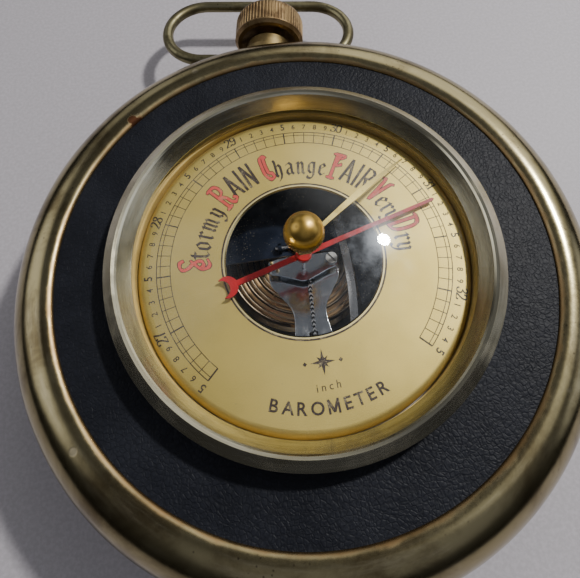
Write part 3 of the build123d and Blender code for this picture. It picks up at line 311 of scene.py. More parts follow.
def satin(name, tone, dark, roughness):
    """Gold-lacquered satin, half metallic."""
    g = Graph(name, roughness=roughness, metallic=0.35)
    grain = g.noise(2600.0, 3.0, 0.6)
    g.colour(g.mix(g.ramp(g.noise(90.0, 5.0), 0.35, 0.7), tone, dark))
    g.rough(g.between(grain, roughness - 0.06, roughness + 0.1))
    g.bump(grain, 0.1, 0.02)
    return g.material


def enamel(name, tone, dark, roughness):
    g = Graph(name, roughness=roughness, Coat_Weight=0.25, Coat_Roughness=0.15)
    cloud = g.noise(240.0, 4.0, 0.6)
    fine = g.noise(2400.0, 3.0)
    g.colour(g.mix(g.ramp(cloud, 0.35, 0.7), tone, dark))
    g.rough(g.between(fine, roughness - 0.06, roughness + 0.1))
    g.bump(fine, 0.06, 0.02)
    return g.material


def plain_surface(name, tone, dark, roughness, scale=300.0, bumpy=0.3):
    """Dielectric with grain, for paper and blackened steel."""
    g = Graph(name, roughness=roughness)
    cloud = g.noise(scale, 6.0, 0.6)
    g.colour(g.mix(cloud, tone, dark))
    g.rough(g.between(cloud, roughness - 0.08, roughness + 0.1))
    g.bump(cloud, bumpy, 0.05)
    return g.material


def wood(name, tone, dark):
    g = Graph(name, roughness=0.6)
    grain = g.noise(1.0, 6.0, 0.6, g.scaled(25.0, 420.0, 420.0), 1.2)
    pores = g.noise(1.0, 3.0, 0.7, g.scaled(120.0, 2600.0, 2600.0))
    g.colour(g.mix(grain, tone, dark))
    g.rough(g.between(pores, 0.5, 0.75))
    g.bump(pores, 0.3, 0.05)
    return g.material


def chain_material():
    """Fusee chain steel: black gaps of painted shade between bright plates, in a chevron along the run."""
    g = Graph("chain_steel", roughness=0.25, metallic=1.0)
    x, y, _ = g.node("SeparateXYZ", {0: g.where}).outputs
    lean = (CHAIN_START[0] - CHAIN_END[0]) / (CHAIN_START[1] - CHAIN_END[1])
    middle = g.math("ADD", g.math("MULTIPLY", y, lean), CHAIN_START[0] * MM)
    off = g.math("ABSOLUTE", g.math("SUBTRACT", x, middle))
    phase = g.math("ADD", y, g.math("MULTIPLY", off, 1.1))
    wave = g.math("SINE", g.math("MULTIPLY", phase, TAU / (CHEVRON_PITCH * MM)))
    cloud = g.noise(900.0, 3.0, 0.6)
    bright = g.mix(cloud, (0.62, 0.63, 0.66), (0.34, 0.34, 0.36))
    # Black chevron bands: painted shade in the gaps between plates
    g.colour(g.mix(g.ramp(wave, 0.15, -0.15), bright, (0.012, 0.012, 0.013)))
    g.rough(g.between(cloud, 0.18, 0.38))
    g.bump(cloud, 0.1, 0.02)
    return g.material


def glass_material():
    """Clear dome: what is behind shows through, and its outer face mirrors with a faint dust haze."""
    g = Graph("dial_glass")
    g.tree.nodes.remove(g.shader)
    clear = g.node("BsdfTransparent", {"Color": (0.985, 0.99, 0.985, 1)})
    mirror = g.node("BsdfGlossy", {"Roughness": 0.012})
    dust = g.ramp(g.noise(240.0, 6.0, 0.7), 0.35, 0.75)
    haze = g.node("BsdfGlossy", {"Roughness": g.between(dust, 0.20, 0.34), "Color": (0.8, 0.85, 0.95, 1)})
    front = g.math("SUBTRACT", 1.0, g.node("NewGeometry").outputs["Backfacing"])
    fresnel = g.node("Fresnel", {"IOR": 1.5}).outputs[0]
    sharp = g.node("MixShader", {0: g.math("MULTIPLY", fresnel, front), 1: clear.outputs[0],
                                 2: mirror.outputs[0]})
    both = g.node("MixShader", {0: g.math("MULTIPLY", g.between(dust, 0.010, 0.030), front),
                                1: sharp.outputs[0], 2: haze.outputs[0]})
    g.feed(g.out.inputs["Surface"], both.outputs[0])
    return g.material


def spring_material():
    """Blued spring steel, nearly black, with pale specks of lost finish."""
    g = Graph("blued_steel", roughness=0.34, metallic=0.9)
    specks = g.math("MULTIPLY", g.ramp(g.cells(1500.0), 0.26, 0.10), g.ramp(g.noise(260.0, 4.0), 0.46, 0.6))
    cloud = g.noise(110.0, 5.0, 0.6)
    tone = g.mix(g.ramp(cloud, 0.4, 0.7), (0.012, 0.018, 0.036), (0.035, 0.045, 0.075))
    g.colour(g.mix(g.math("MULTIPLY", specks, 0.8), tone, (0.42, 0.38, 0.26)))
    g.rough(g.between(cloud, 0.26, 0.46))
    g.bump(g.noise(1800.0, 3.0), 0.2, 0.03)
    return g.material


def fine_metal(name, bright, dull, roughness, grain):
    return metal(name, bright, dull, roughness, grain=grain)


# Each material slot: its function, its tones and what else that function takes, in order
RECIPES = {
    "core_wood": (wood, (0.34, 0.20, 0.10), (0.18, 0.10, 0.045)),
    "back_brass": (turned, (0.46, 0.36, 0.18), (0.27, 0.20, 0.10), 0.36, 1600.0, 0.4),
    "steel_screws": (fine_metal, (0.62, 0.61, 0.60), (0.33, 0.32, 0.31), 0.24, 1500.0),
    "board_wood": (wood, (0.25, 0.15, 0.08), (0.12, 0.07, 0.035)),
    "black_steel": (plain_surface, (0.012, 0.012, 0.013), (0.03, 0.03, 0.03), 0.4),
    "bezel_brass": (turned, (0.77, 0.73, 0.55), (0.60, 0.55, 0.38), 0.12, 5200.0, 0.75, 0.0, 0.05),
    "gasket_paper": (plain_surface, (0.72, 0.54, 0.22), (0.50, 0.37, 0.14), 0.6),
    "ring_brass": (satin, (0.86, 0.66, 0.27), (0.66, 0.49, 0.18), 0.38),
    "plate_steel": (metal, (0.42, 0.42, 0.44), (0.20, 0.20, 0.21), 0.36),
    "pillar_brass": (fine_metal, (0.70, 0.52, 0.22), (0.42, 0.28, 0.11), 0.24, 1200.0),
    "capsule_copper": (metal, (1.0, 0.82, 0.60), (0.86, 0.56, 0.33), 0.18, (0.5, 0.8), 110.0, 900.0, 0.08),
    "bright_steel": (fine_metal, (0.66, 0.66, 0.68), (0.36, 0.36, 0.38), 0.22, 1400.0),
    "bridge_nickel": (metal, (0.84, 0.87, 0.92), (0.45, 0.47, 0.51), 0.12, (0.5, 0.72), 160.0, 1300.0, 0.12),
    "red_enamel": (enamel, (0.50, 0.006, 0.010), (0.34, 0.005, 0.008), 0.36),
    "set_brass": (metal, (0.50, 0.40, 0.14), (0.36, 0.27, 0.08), 0.36, (0.5, 0.8), 160.0, 1500.0),
    "knob_brass": (metal, (0.60, 0.40, 0.10), (0.30, 0.17, 0.045), 0.30, (0.50, 0.72), 210.0, 1100.0, 0.12),
    "pendant_brass": (fine_metal, (0.40, 0.30, 0.14), (0.17, 0.12, 0.05), 0.32, 900.0),
    "crown_brass": (metal, (0.36, 0.25, 0.125), (0.14, 0.09, 0.045), 0.34, (0.42, 0.62), 160.0, 800.0, 0.25),
    "bow_brass": (metal, (0.27, 0.245, 0.14), (0.115, 0.10, 0.055), 0.28, (0.42, 0.65), 120.0, 800.0, 0.25),
    "ink_brown": (ink, (0.030, 0.014, 0.010), 0.60),
    "ink_fine": (ink, (0.035, 0.022, 0.016), 0.45),
    "ink_red": (ink, (0.66, 0.075, 0.055), 0.40),
}
materials = {name: make(name, *values) for name, (make, *values) in RECIPES.items()}
materials.update({
    "rim_brass": rim_material(),
    "black_leather": leather_material(),
    "dial_glass": glass_material(),
    "dial_gold": dial_material(),
    "blued_steel": spring_material(),
    "chain_steel": chain_material(),
})

for row in frame["record"]["subparts"]:
    node = nodes[row["node"]]
    node.data.materials.clear()
    node.data.materials.append(materials[row["material_slot"]])


# ---- mesh helpers
def place_mesh(mesh, name, material, body="case", node=None, slot=None, sharp=35.0):
    """Object with one material that rides on a body, and stands for a CAD node where one is named."""
    mesh.shade_smooth()
    mesh.set_sharp_from_angle(angle=math.radians(sharp))
    mesh.materials.clear()
    mesh.materials.append(materials[material])
    made = bpy.data.objects.new(name, mesh)
    bpy.context.scene.collection.objects.link(made)
    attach(made, body)
    if node:
        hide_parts(node)


def add_mesh(name, points, faces, material, **rest):
    """Piece from points in millimetres, smooth except at sharp edges."""
    mesh = bpy.data.meshes.new(name)
    mesh.from_pydata([(x * MM, y * MM, z * MM) for x, y, z in points], [], faces)
    mesh.validate()
    place_mesh(mesh, name, material, **rest)


def quads(rows, columns):
    """Faces of a grid of points that closes on itself both ways."""
    faces = []
    for s in range(rows):
        t = (s + 1) % rows
        for i in range(columns):
            j = (i + 1) % columns
            faces.append((s * columns + i, t * columns + i, t * columns + j, s * columns + j))
    return faces


def arc(centre_r, centre_z, reach_r, reach_z, start, end, steps):
    """Points of an elliptical arc in the (radius, height) plane."""
    found = []
    for i in range(steps + 1):
        a = math.radians(start + (end - start) * i / steps)
        found.append((centre_r + reach_r * math.cos(a), centre_z + reach_z * math.sin(a)))
    return found


def lathe(name, profile, material, segments=288, centre_y=0.0, wobble=None, **rest):
    """Turns a closed (radius, height) outline, listed clockwise as seen with Z up, about the dial axis."""
    points = []
    for s in range(segments):
        a = TAU * s / segments
        for r, z in profile:
            if wobble:
                r, z = wobble(r, z, a)
            points.append((r * math.cos(a), centre_y + r * math.sin(a), z))
    # The first corner sets the diagonal a face is split along
    faces = [face[3:] + face[:3] for face in quads(segments, len(profile))]
    add_mesh(name, points, faces, material, **rest)


def tube(name, path, radius, material, sides=28, **rest):
    """Round wire along a flat closed path of Vectors."""
    count = len(path)
    normal = (path[count // 3] - path[0]).cross(path[2 * count // 3] - path[0]).normalized()
    points = []
    for i, p in enumerate(path):
        along = (path[(i + 1) % count] - path[i - 1]).normalized()
        out = along.cross(normal)
        worn = radius * (1 - 0.015 * (1 + noise.noise(p * 0.35)))
        for k in range(sides):
            a = TAU * k / sides
            points.append(p + (out * math.cos(a) + normal * math.sin(a)) * worn)
    add_mesh(name, points, quads(count, sides), material, **rest)


def smooth_line(points, steps=6):
    """Catmull-Rom curve through 2-D points."""
    found = []
    for i in range(len(points) - 1):
        p0, p1 = points[max(i - 1, 0)], points[i]
        p2, p3 = points[i + 1], points[min(i + 2, len(points) - 1)]
        for k in range(steps):
            t = k / steps
            found.append(tuple(
                0.5 * (2 * b + (c - a) * t + (2 * a - 5 * b + 4 * c - d) * t * t
                       + (3 * b - a - 3 * c + d) * t**3)
                for a, b, c, d in zip(p0, p1, p2, p3)))
    found.append(tuple(points[-1]))
    return found


def plate(name, loops, low, high, bevel, material, **rest):
    """Flat plate with bevelled edges from closed 2-D loops: the outline, then holes."""
    curve = bpy.data.curves.new(name, "CURVE")
    curve.dimensions = "2D"
    curve.fill_mode = "BOTH"
    for loop in loops:
        line = curve.splines.new("POLY")
        line.points.add(len(loop) - 1)
        for point, (x, y) in zip(line.points, loop):
            point.co = (x * MM, y * MM, 0, 1)
        line.use_cyclic_u = True
    curve.extrude = ((high - low) / 2 - bevel) * MM
    curve.bevel_depth = bevel * MM
    curve.bevel_resolution = 2
    curve.offset = -bevel * MM
    source = bpy.data.objects.new(name + ".curve", curve)
    bpy.context.scene.collection.objects.link(source)
    source.location.z = (high + low) / 2 * MM
    bpy.context.view_layer.update()
    mesh = bpy.data.meshes.new_from_object(source)
    mesh.transform(source.matrix_world)
    bpy.data.objects.remove(source)
    mesh.name = name
    place_mesh(mesh, name, material, sharp=40.0, **rest)


def circle(x, y, r, steps=32):
    return [(x + r * math.cos(TAU * i / steps), y + r * math.sin(TAU * i / steps)) for i in range(steps)]


# ---- case rim and leather
def rim_wobble(r, z, a):
    """Very slight unevenness of the spun brass, always inwards."""
    p = Vector((math.cos(a) * 4.0, math.sin(a) * 4.0, z * 0.12))
    dent = 0.05 * (1 + noise.noise(p)) + 0.02 * (1 + noise.noise(p * 3.1))
    return r - dent, z - 0.4 * dent * (1 if z > WIDEST_Z else 0)


rim_profile = (
    arc(RIM_CREST_R, DIAL_Z, RIM_CREST_R - RIM_INNER_R, RIM_RISE, 180, 90, 10)[:-1]
    + arc(RIM_CREST_R, WIDEST_Z, RIM_OUTER_R - RIM_CREST_R, RIM_DROP + RIM_RISE, 90, 0, 28)[:-1]
    + arc(RIM_FOOT_R, WIDEST_Z, RIM_OUTER_R - RIM_FOOT_R, WIDEST_Z - RIM_FOOT_Z, 0, -90, 20)
    + arc(RIM_FOOT_R, WIDEST_Z, RIM_OUTER_R - RIM_FOOT_R - RIM_WALL,
          WIDEST_Z - RIM_FOOT_Z - RIM_WALL, -90, 0, 14)[:-1]
    + arc(RIM_CREST_R, WIDEST_Z, RIM_OUTER_R - RIM_CREST_R - RIM_WALL,
          RIM_DROP + RIM_RISE - RIM_WALL, 0, 90, 14)
)
lathe("case_rim_turned", rim_profile, "rim_brass", 360, wobble=rim_wobble, node="case_rim")


def leather_height(x, y):
    """Wrinkles and soft swell of the leather, in millimetres below its plane."""
    p = Vector((x * 0.16, y * 0.16, 0.0))
    turned_p = p + noise.noise_vector(p * 0.7) * 0.8
    folds = abs(noise.noise(Vector((turned_p.x * 5.2, turned_p.y * 2.9, 1.7))))
    small = abs(noise.noise(Vector((turned_p.x * 9.5, turned_p.y * 6.5, 5.1))))
    return -0.045 * max(0.0, 1 - 3.5 * folds) - 0.035 * max(0.0, 1 - 3.0 * small)


def leather_ring():
    """Points and faces of the leather: its grained face, then its outer and inner edges below."""
    rings, segments = 64, 900
    low = DIAL_Z - LEATHER_THICK
    points = []
    for i in range(rings + 1):
        t = i / rings
        r = BOARD_HOLE_R + (BOARD_EDGE_R - BOARD_HOLE_R) * t
        edge = min(1.0, 8 * t, 8 * (1 - t))
        for s in range(segments):
            a = TAU * s / segments
            x, y = r * math.cos(a), r * math.sin(a)
            points.append((x, y, DIAL_Z - 0.02 + leather_height(x, y) * edge))
    for r in (BOARD_EDGE_R, BOARD_HOLE_R):
        for s in range(segments):
            a = TAU * s / segments
            points.append((r * math.cos(a), r * math.sin(a), low))
    return points, quads(rings + 3, segments)


leather_points, leather_faces = leather_ring()
add_mesh("leather_skin", leather_points, leather_faces, "black_leather", node="leather_panel")

# ---- bezel and glass
HOUSING_R = 46.8
BEZEL_SIGHT_R, BEZEL_OUTER_R, BEZEL_SKIRT_R, BEZEL_FIT_R = 43.65, 50.0, HOUSING_R + 1.4, HOUSING_R + 0.05


def sphere_z(radius, reach):
    return GLASS_CENTRE_Z + math.sqrt(radius**2 - reach**2)


bezel_profile = [
    (BEZEL_SIGHT_R, DIAL_Z + 3.9), (46.3, DIAL_Z + 7.5), (46.75, DIAL_Z + 7.92), (47.5, DIAL_Z + 8.15),
    (BEZEL_OUTER_R, DIAL_Z + 6.3), (BEZEL_OUTER_R, DIAL_Z + 5.3), (BEZEL_SKIRT_R, DIAL_Z + 5.0),
    (BEZEL_SKIRT_R, DIAL_Z + 1.4), (BEZEL_FIT_R, DIAL_Z + 1.4),
    (BEZEL_FIT_R, GLASS_SHOULDER_Z + 0.1), (GLASS_EDGE_R, GLASS_SHOULDER_Z + 0.1),
    (BEZEL_SIGHT_R, sphere_z(GLASS_OUTER_R, BEZEL_SIGHT_R) + 0.1),
]
lathe("bezel_turned", bezel_profile, "bezel_brass", 360, sharp=9.0, node="bezel")

inner_flat_r = math.sqrt(GLASS_INNER_R**2 - (GLASS_SEAT_Z - GLASS_CENTRE_Z) ** 2)
glass_steps = 40
outer_skin = [GLASS_HOLE_R + (GLASS_EDGE_R - GLASS_HOLE_R) * i / glass_steps for i in range(glass_steps + 1)]
inner_skin = [GLASS_HOLE_R + (inner_flat_r - GLASS_HOLE_R) * i / glass_steps for i in range(glass_steps + 1)]
glass_profile = (
    [(r, sphere_z(GLASS_OUTER_R, r)) for r in outer_skin]
    + [(GLASS_EDGE_R, GLASS_SEAT_Z)]
    + [(r, sphere_z(GLASS_INNER_R, r)) for r in reversed(inner_skin)]
)
lathe("glass_dome", glass_profile, "dial_glass", 256, node="glass")


# ---- capsule
def capsule_profile(sign):
    def rise(reach, inset):
        turn = (reach - 3.5) / (CAPSULE_R - 5.0)
        wave = 0.75 * math.cos(TAU * CAPSULE_WAVES * turn)
        return CAPSULE_MID_Z + sign * (CAPSULE_THICK / 2 - 0.95 + wave - inset)

    steps = 110
    reaches = [3.5 + (CAPSULE_R - 5.0) * i / steps for i in range(steps + 1)]
    flange = [
        (CAPSULE_R - 1.2, CAPSULE_MID_Z + sign * 2 * CAPSULE_SKIN),
        (CAPSULE_R, CAPSULE_MID_Z + sign * CAPSULE_SKIN),
        (CAPSULE_R, CAPSULE_MID_Z),
        (CAPSULE_R - 1.5, CAPSULE_MID_Z),
    ]
    top = CAPSULE_MID_Z + sign * CAPSULE_THICK / 2
    found = [(0.01, top), (2.6, top)] + [(r, rise(r, 0)) for r in reaches] + flange
    found += [(r, rise(r, CAPSULE_SKIN)) for r in reversed(reaches)] + [(0.01, rise(3.5, CAPSULE_SKIN))]
    return found if sign > 0 else found[::-1]


lathe("capsule_top_skin", capsule_profile(1), "capsule_copper", 200, CAPSULE_Y, node="capsule_upper")
lathe("capsule_low_skin", capsule_profile(-1), "capsule_copper", 200, CAPSULE_Y, node="capsule_lower")

# ---- bridge plate and chain
flank = smooth_line([(6.0, -24.0), (4.9, -16.5), (4.6, -11.0), (7.2, -6.4), (9.6, -2.6), (9.4, 1.6),
                     (7.4, 3.9)], 8)
outline = [(6.0, -30.0)] + flank + [(-x, y) for x, y in reversed(flank)] + [(-6.0, -30.0)]
slot_hole = [(-1.1, -23.0), (1.1, -23.0), (1.1, -17.0), (-1.1, -17.0)]
screw_holes = [circle(x, -27, 1.35) for x in (-3.8, 3.8)]
plate("bridge_shaped", [outline, circle(0, 0, 0.5), slot_hole, *screw_holes],
      BRIDGE_Z, BRIDGE_Z + BRIDGE_THICK, 0.14, "bridge_nickel", node="bridge_plate")


def chain_links():
    """Fusee chain: figure-of-eight plates in turn double and single, with rivets through them."""
    start, end = Vector((*CHAIN_START, 0)), Vector((*CHAIN_END, 0))
    run = end - start
    pitch = run.length / CHAIN_LINKS
    along = run.normalized()
    across = Vector((-along.y, along.x, 0))
    points, faces = [], []

    def prism(outline_uv, centre, low, high, wide=1.0):
        base = len(points)
        n = len(outline_uv)
        for z in (low, high):
            for u, v in outline_uv:
                p = centre + along * u + across * v * wide
                points.append((p.x, p.y, CHAIN_Z + z))
        faces.append(tuple(base + i for i in reversed(range(n))))
        faces.append(tuple(base + n + i for i in range(n)))
        for i in range(n):
            j = (i + 1) % n
            faces.append((base + i, base + j, base + n + j, base + n + i))

    def eight(length):
        """Outline of a link plate, waisted between its two eyes."""
        found = []
        for i in range(28):
            a = TAU * i / 28
            waist = 0.52 + 0.16 * abs(math.cos(a)) - 0.10 * abs(math.sin(a)) ** 6
            found.append((length / 2 * math.cos(a) + 0.22 * math.cos(a), waist * math.sin(a) * 1.1))
        return found

    for i in range(CHAIN_LINKS):
        centre = start + along * pitch * (i + 0.5)
        if i % 2:
            prism(eight(pitch * 0.9), centre, -0.07, 0.07, 0.62)
        else:
            prism(eight(pitch), centre, 0.09, 0.20)
            prism(eight(pitch), centre, -0.20, -0.09)
        if i:
            joint = start + along * pitch * i
            rivet = [(0.19 * math.cos(TAU * k / 12), 0.19 * math.sin(TAU * k / 12)) for k in range(12)]
            prism(rivet, joint, -0.222, 0.222)
    return points, faces


chain_points, chain_faces = chain_links()
add_mesh("chain_linked", chain_points, chain_faces, "chain_steel", node="chain",
         slot="bright_steel", sharp=30.0)

# ---- bow
tilt = math.radians(BOW_TILT)
bow_up = PENDANT_OUT * math.cos(tilt) + Vector((0, 0, 1)) * math.sin(tilt)
bow_start = BOW_ROOT + PENDANT_SIDE * BOW_SHIFT
bow_straight = BOW_HALF_WIDTH - BOW_HALF_HEIGHT


def bow_path():
    """Two straights and two half rounds, in the tilted plane of the bow."""
    flat = []
    for side in (1, -1):
        flat += [(side * (-bow_straight + 2 * bow_straight * i / 24), BOW_HALF_HEIGHT * (1 - side))
                 for i in range(24)]
        flat += [(side * (bow_straight + BOW_HALF_HEIGHT * math.sin(math.pi * i / 40)),
                  BOW_HALF_HEIGHT * (1 - side * math.cos(math.pi * i / 40))) for i in range(40)]
    return [bow_start + PENDANT_SIDE * x + bow_up * y for x, y in flat]


tube("bow_wire", bow_path(), BOW_WIRE_R, "bow_brass", body="bow", node="bow")

# ---- printing on the dial
PRINT_RISE = 0.02
STACK, STACK_STEP = 12, 0.0012   # shapes that overlap lie a hair above each other


class Print:
    """Flat ink shapes gathered into one mesh that follows the dial, rolled edge included."""

    def __init__(self):
        self.points, self.faces = [], []

    def shape(self, outline_xy, place=lambda p: p, lift=0.0):
        base = len(self.points)
        lift += len(self.faces) % STACK * STACK_STEP
        for p in outline_xy:
            x, y = place(p)
            r = math.hypot(x, y)
            fall = 0.0
            if r > DIAL_FLAT_R:
                fall = DIAL_CORNER - math.sqrt(max(DIAL_CORNER**2 - (r - DIAL_FLAT_R) ** 2, 0.0))
            self.points.append((x, y, DIAL_Z + PRINT_RISE + lift - fall))
        self.faces.append(tuple(range(base, base + len(outline_xy))))

    def ring(self, radius, width, start, end, steps=360):
        for i in range(steps):
            a, b = (math.radians(start + (end - start) * (i + k) / steps) for k in (0, 1))
            near, far = radius - width / 2, radius + width / 2
            self.shape([(near * math.sin(b), near * math.cos(b)), (near * math.sin(a), near * math.cos(a)),
                        (far * math.sin(a), far * math.cos(a)), (far * math.sin(b), far * math.cos(b))])

    def tick(self, clock, near, far, width):
        a = math.radians(clock)
        out, side = (math.sin(a), math.cos(a)), (math.cos(a), -math.sin(a))
        self.shape([(out[0] * r + side[0] * w, out[1] * r + side[1] * w)
                    for r, w in ((near, -width / 2), (near, width / 2), (far, width / 2), (far, -width / 2))])

    def done(self, name, material):
        add_mesh(name, self.points, self.faces, material, slot="dial_gold")


def hull(points):
    """Convex hull, anticlockwise."""
    points = sorted(set(points))

    def half(run):
        kept = []
        for p in run:
            while len(kept) > 1 and ((kept[-1][0] - kept[-2][0]) * (p[1] - kept[-2][1])
                                     - (kept[-1][1] - kept[-2][1]) * (p[0] - kept[-2][0])) <= 0:
                kept.pop()
            kept.append(p)
        return kept[:-1]

    return half(points) + half(points[::-1])


def pen(target, strokes, place, size, nib, angle, thin, grow=0.0, lift=0.0, smooth=False):
    """Draws strokes, given in letter heights, with a flat nib held at an angle."""
    a = math.radians(angle)
    along = (math.cos(a), math.sin(a))
    w, t = nib / 2 + grow, thin / 2 + grow
    corners = [(along[0] * i * w - along[1] * j * t, along[1] * i * w + along[0] * j * t)
               for i in (-1, 1) for j in (-1, 1)]
    for stroke in strokes:
        line = smooth_line(stroke, 5) if smooth and len(stroke) > 2 else stroke
        for p, q in zip(line, line[1:]):
            swept = [(e[0] * size + c[0], e[1] * size + c[1]) for e in (p, q) for c in corners]
            target.shape(hull([(round(x, 5), round(y, 5)) for x, y in swept]), place, lift)


def on_arc(clock, radius, shift=0.0, inward=False):
    """Places letter coordinates on the dial at a clock angle, tops outwards, or inwards at the foot."""
    a = math.radians(clock)
    right, up = (math.cos(a), -math.sin(a)), (math.sin(a), math.cos(a))
    if inward:
        right, up = (-right[0], -right[1]), (-up[0], -up[1])
    at = (radius * math.sin(a), radius * math.cos(a))

    def place(p):
        x, y = p[0] + shift, p[1]
        return at[0] + right[0] * x + up[0] * y, at[1] + right[1] * x + up[1] * y

    return place


# Blackletter small letters: (advance, strokes), in x-heights
STEM = [(0.06, 0.9), (0.16, 1.0), (0.18, 0.86), (0.18, 0.12), (0.26, 0.0)]
BLACKLETTER = {
    "t": (0.56, [[(0.26, 1.28), (0.22, 0.95), (0.22, 0.2), (0.36, 0.02), (0.5, 0.12)],
                 [(0.04, 1.0), (0.5, 1.0)]]),
    "o": (0.72, [[(0.34, 1.0), (0.14, 0.8), (0.14, 0.2), (0.34, 0.0)],
                 [(0.34, 1.0), (0.56, 0.78), (0.56, 0.22), (0.34, 0.0)]]),
    "r": (0.58, [[(0.06, 0.9), (0.18, 1.0), (0.22, 0.86), (0.22, 0.14), (0.32, 0.0)],
                 [(0.24, 0.78), (0.42, 1.0), (0.54, 0.84)]]),
    "m": (1.06, [STEM,
                 [(0.2, 0.76), (0.4, 1.0), (0.5, 0.84), (0.5, 0.12), (0.58, 0.0)],
                 [(0.52, 0.76), (0.72, 1.0), (0.82, 0.84), (0.82, 0.12), (0.94, 0.0)]]),
    "n": (0.76, [STEM,
                 [(0.2, 0.76), (0.4, 1.0), (0.52, 0.84), (0.52, 0.12), (0.64, 0.0)]]),
    "y": (0.74, [[(0.08, 0.95), (0.18, 0.86), (0.18, 0.2), (0.36, 0.02), (0.5, 0.14)],
                 [(0.42, 0.95), (0.54, 0.84), (0.54, 0.0), (0.42, -0.3), (0.2, -0.42), (0.08, -0.3)]]),
    "h": (0.76, [[(0.1, 1.42), (0.18, 1.3), (0.18, 0.12), (0.26, 0.0)],
                 [(0.2, 0.78), (0.4, 1.0), (0.54, 0.8), (0.54, 0.1), (0.42, -0.24), (0.3, -0.34)]]),
    "a": (0.72, [[(0.12, 0.86), (0.32, 1.0), (0.5, 0.84), (0.5, 0.14), (0.64, 0.02)],
                 [(0.5, 0.62), (0.2, 0.46), (0.14, 0.2), (0.3, 0.0), (0.48, 0.16)]]),
    "g": (0.74, [[(0.5, 0.92), (0.3, 1.0), (0.14, 0.78), (0.14, 0.28), (0.32, 0.08), (0.5, 0.24)],
                 [(0.52, 1.0), (0.52, -0.1), (0.36, -0.38), (0.12, -0.34), (0.06, -0.2)]]),
    "e": (0.62, [[(0.5, 0.16), (0.32, 0.0), (0.14, 0.2), (0.14, 0.8), (0.34, 1.0), (0.5, 0.78),
                  (0.18, 0.5)]]),
}
# Ornamental capitals, in capital heights
CAPITALS = {
    "S": [[(0.46, 0.90), (0.36, 1.0), (0.14, 0.98), (0.06, 0.86), (0.12, 0.72), (0.30, 0.56), (0.42, 0.38),
           (0.38, 0.24), (0.24, 0.20), (0.12, 0.28)],
          [(0.42, 0.62), (0.22, 0.44), (0.08, 0.28), (0.10, 0.08), (0.26, 0.0), (0.44, 0.06)]],
    "R": [[(0.12, 1.0), (0.12, 0.0)], [(0.0, 1.0), (0.30, 1.0), (0.44, 0.88), (0.40, 0.62), (0.16, 0.54)],
          [(0.20, 0.54), (0.34, 0.36), (0.38, 0.10), (0.52, 0.0), (0.66, 0.08), (0.60, 0.18)],
          [(0.0, 0.0), (0.24, 0.0)]],
    "C": [[(0.36, 0.92), (0.24, 1.0), (0.10, 0.92), (0.08, 0.60), (0.10, 0.26), (0.22, 0.06), (0.36, 0.0),
           (0.46, 0.08)], [(0.26, 0.96), (0.24, 0.60), (0.26, 0.30)],
          [(0.30, 0.26), (0.42, 0.22), (0.44, 0.12)]],
    "F": [[(0.14, 1.0), (0.14, 0.02)], [(0.02, 1.0), (0.48, 1.0), (0.38, 0.86)],
          [(0.30, 0.98), (0.22, 0.78), (0.18, 0.58)], [(0.16, 0.56), (0.36, 0.56), (0.40, 0.64)],
          [(0.02, 0.02), (0.26, 0.0)]],
    "V": [[(0.04, 1.0), (0.16, 0.92), (0.26, 0.02)], [(0.26, 0.02), (0.44, 0.90), (0.54, 1.0)]],
    "D": [[(0.12, 1.0), (0.12, 0.04)], [(0.0, 1.0), (0.28, 0.98), (0.44, 0.84), (0.46, 0.40), (0.34, 0.08),
                                       (0.10, 0.0)]],
}
# Numerals with thick stems and hairline joins, in numeral heights
NUMERALS = {
    "0": (0.62, [[(0.30, 1.0), (0.10, 0.84), (0.06, 0.5), (0.10, 0.16), (0.30, 0.0), (0.50, 0.16),
                  (0.54, 0.5), (0.50, 0.84), (0.30, 1.0)]]),
    "1": (0.42, [[(0.06, 0.82), (0.22, 1.0), (0.22, 0.0)], [(0.06, 0.0), (0.38, 0.0)]]),
    "2": (0.62, [[(0.10, 0.74), (0.12, 0.92), (0.30, 1.0), (0.48, 0.90), (0.50, 0.70), (0.36, 0.42),
                  (0.16, 0.18), (0.06, 0.03)], [(0.06, 0.03), (0.40, 0.03), (0.54, 0.06), (0.56, 0.20)]]),
    "3": (0.60, [[(0.10, 0.82), (0.24, 1.0), (0.44, 0.94), (0.46, 0.72), (0.26, 0.54)],
                 [(0.26, 0.54), (0.50, 0.44), (0.52, 0.16), (0.34, 0.0), (0.12, 0.06), (0.08, 0.20)]]),
    "7": (0.58, [[(0.08, 0.78), (0.08, 0.97), (0.52, 0.97)], [(0.52, 0.97), (0.32, 0.50), (0.26, 0.0)]]),
    "8": (0.62, [[(0.30, 1.0), (0.14, 0.88), (0.14, 0.68), (0.46, 0.40), (0.50, 0.16), (0.30, 0.0),
                  (0.10, 0.12), (0.10, 0.34), (0.44, 0.66), (0.46, 0.88), (0.30, 1.0)]]),
    "9": (0.62, [[(0.50, 0.62), (0.30, 0.44), (0.10, 0.56), (0.08, 0.82), (0.26, 1.0), (0.46, 0.90),
                  (0.52, 0.62), (0.46, 0.26), (0.30, 0.02), (0.12, 0.08), (0.10, 0.18)]]),
}

glyph_cache = {}


def glyph(character, heavier=0.0):
    """(faces as 2-D outlines, advance) of a plain sans letter, one unit high, from the built-in font."""
    key = (character, heavier)
    if key not in glyph_cache:
        text = bpy.data.curves.new("glyph", "FONT")
        text.body = character
        text.offset = heavier
        text.resolution_u = 4
        holder = bpy.data.objects.new("glyph", text)
        bpy.context.scene.collection.objects.link(holder)
        bpy.context.view_layer.update()
        mesh = bpy.data.meshes.new_from_object(holder)
        corners = [(v.co.x, v.co.y) for v in mesh.vertices]
        shapes = [[corners[i] for i in face.vertices] for face in mesh.polygons]
        low, high = min(x for x, _ in corners), max(x for x, _ in corners)
        bpy.data.objects.remove(holder)
        glyph_cache[key] = shapes, low, high - low
    return glyph_cache[key]


CAP_UNIT = 0.729          # height of a capital in the built-in font at size one


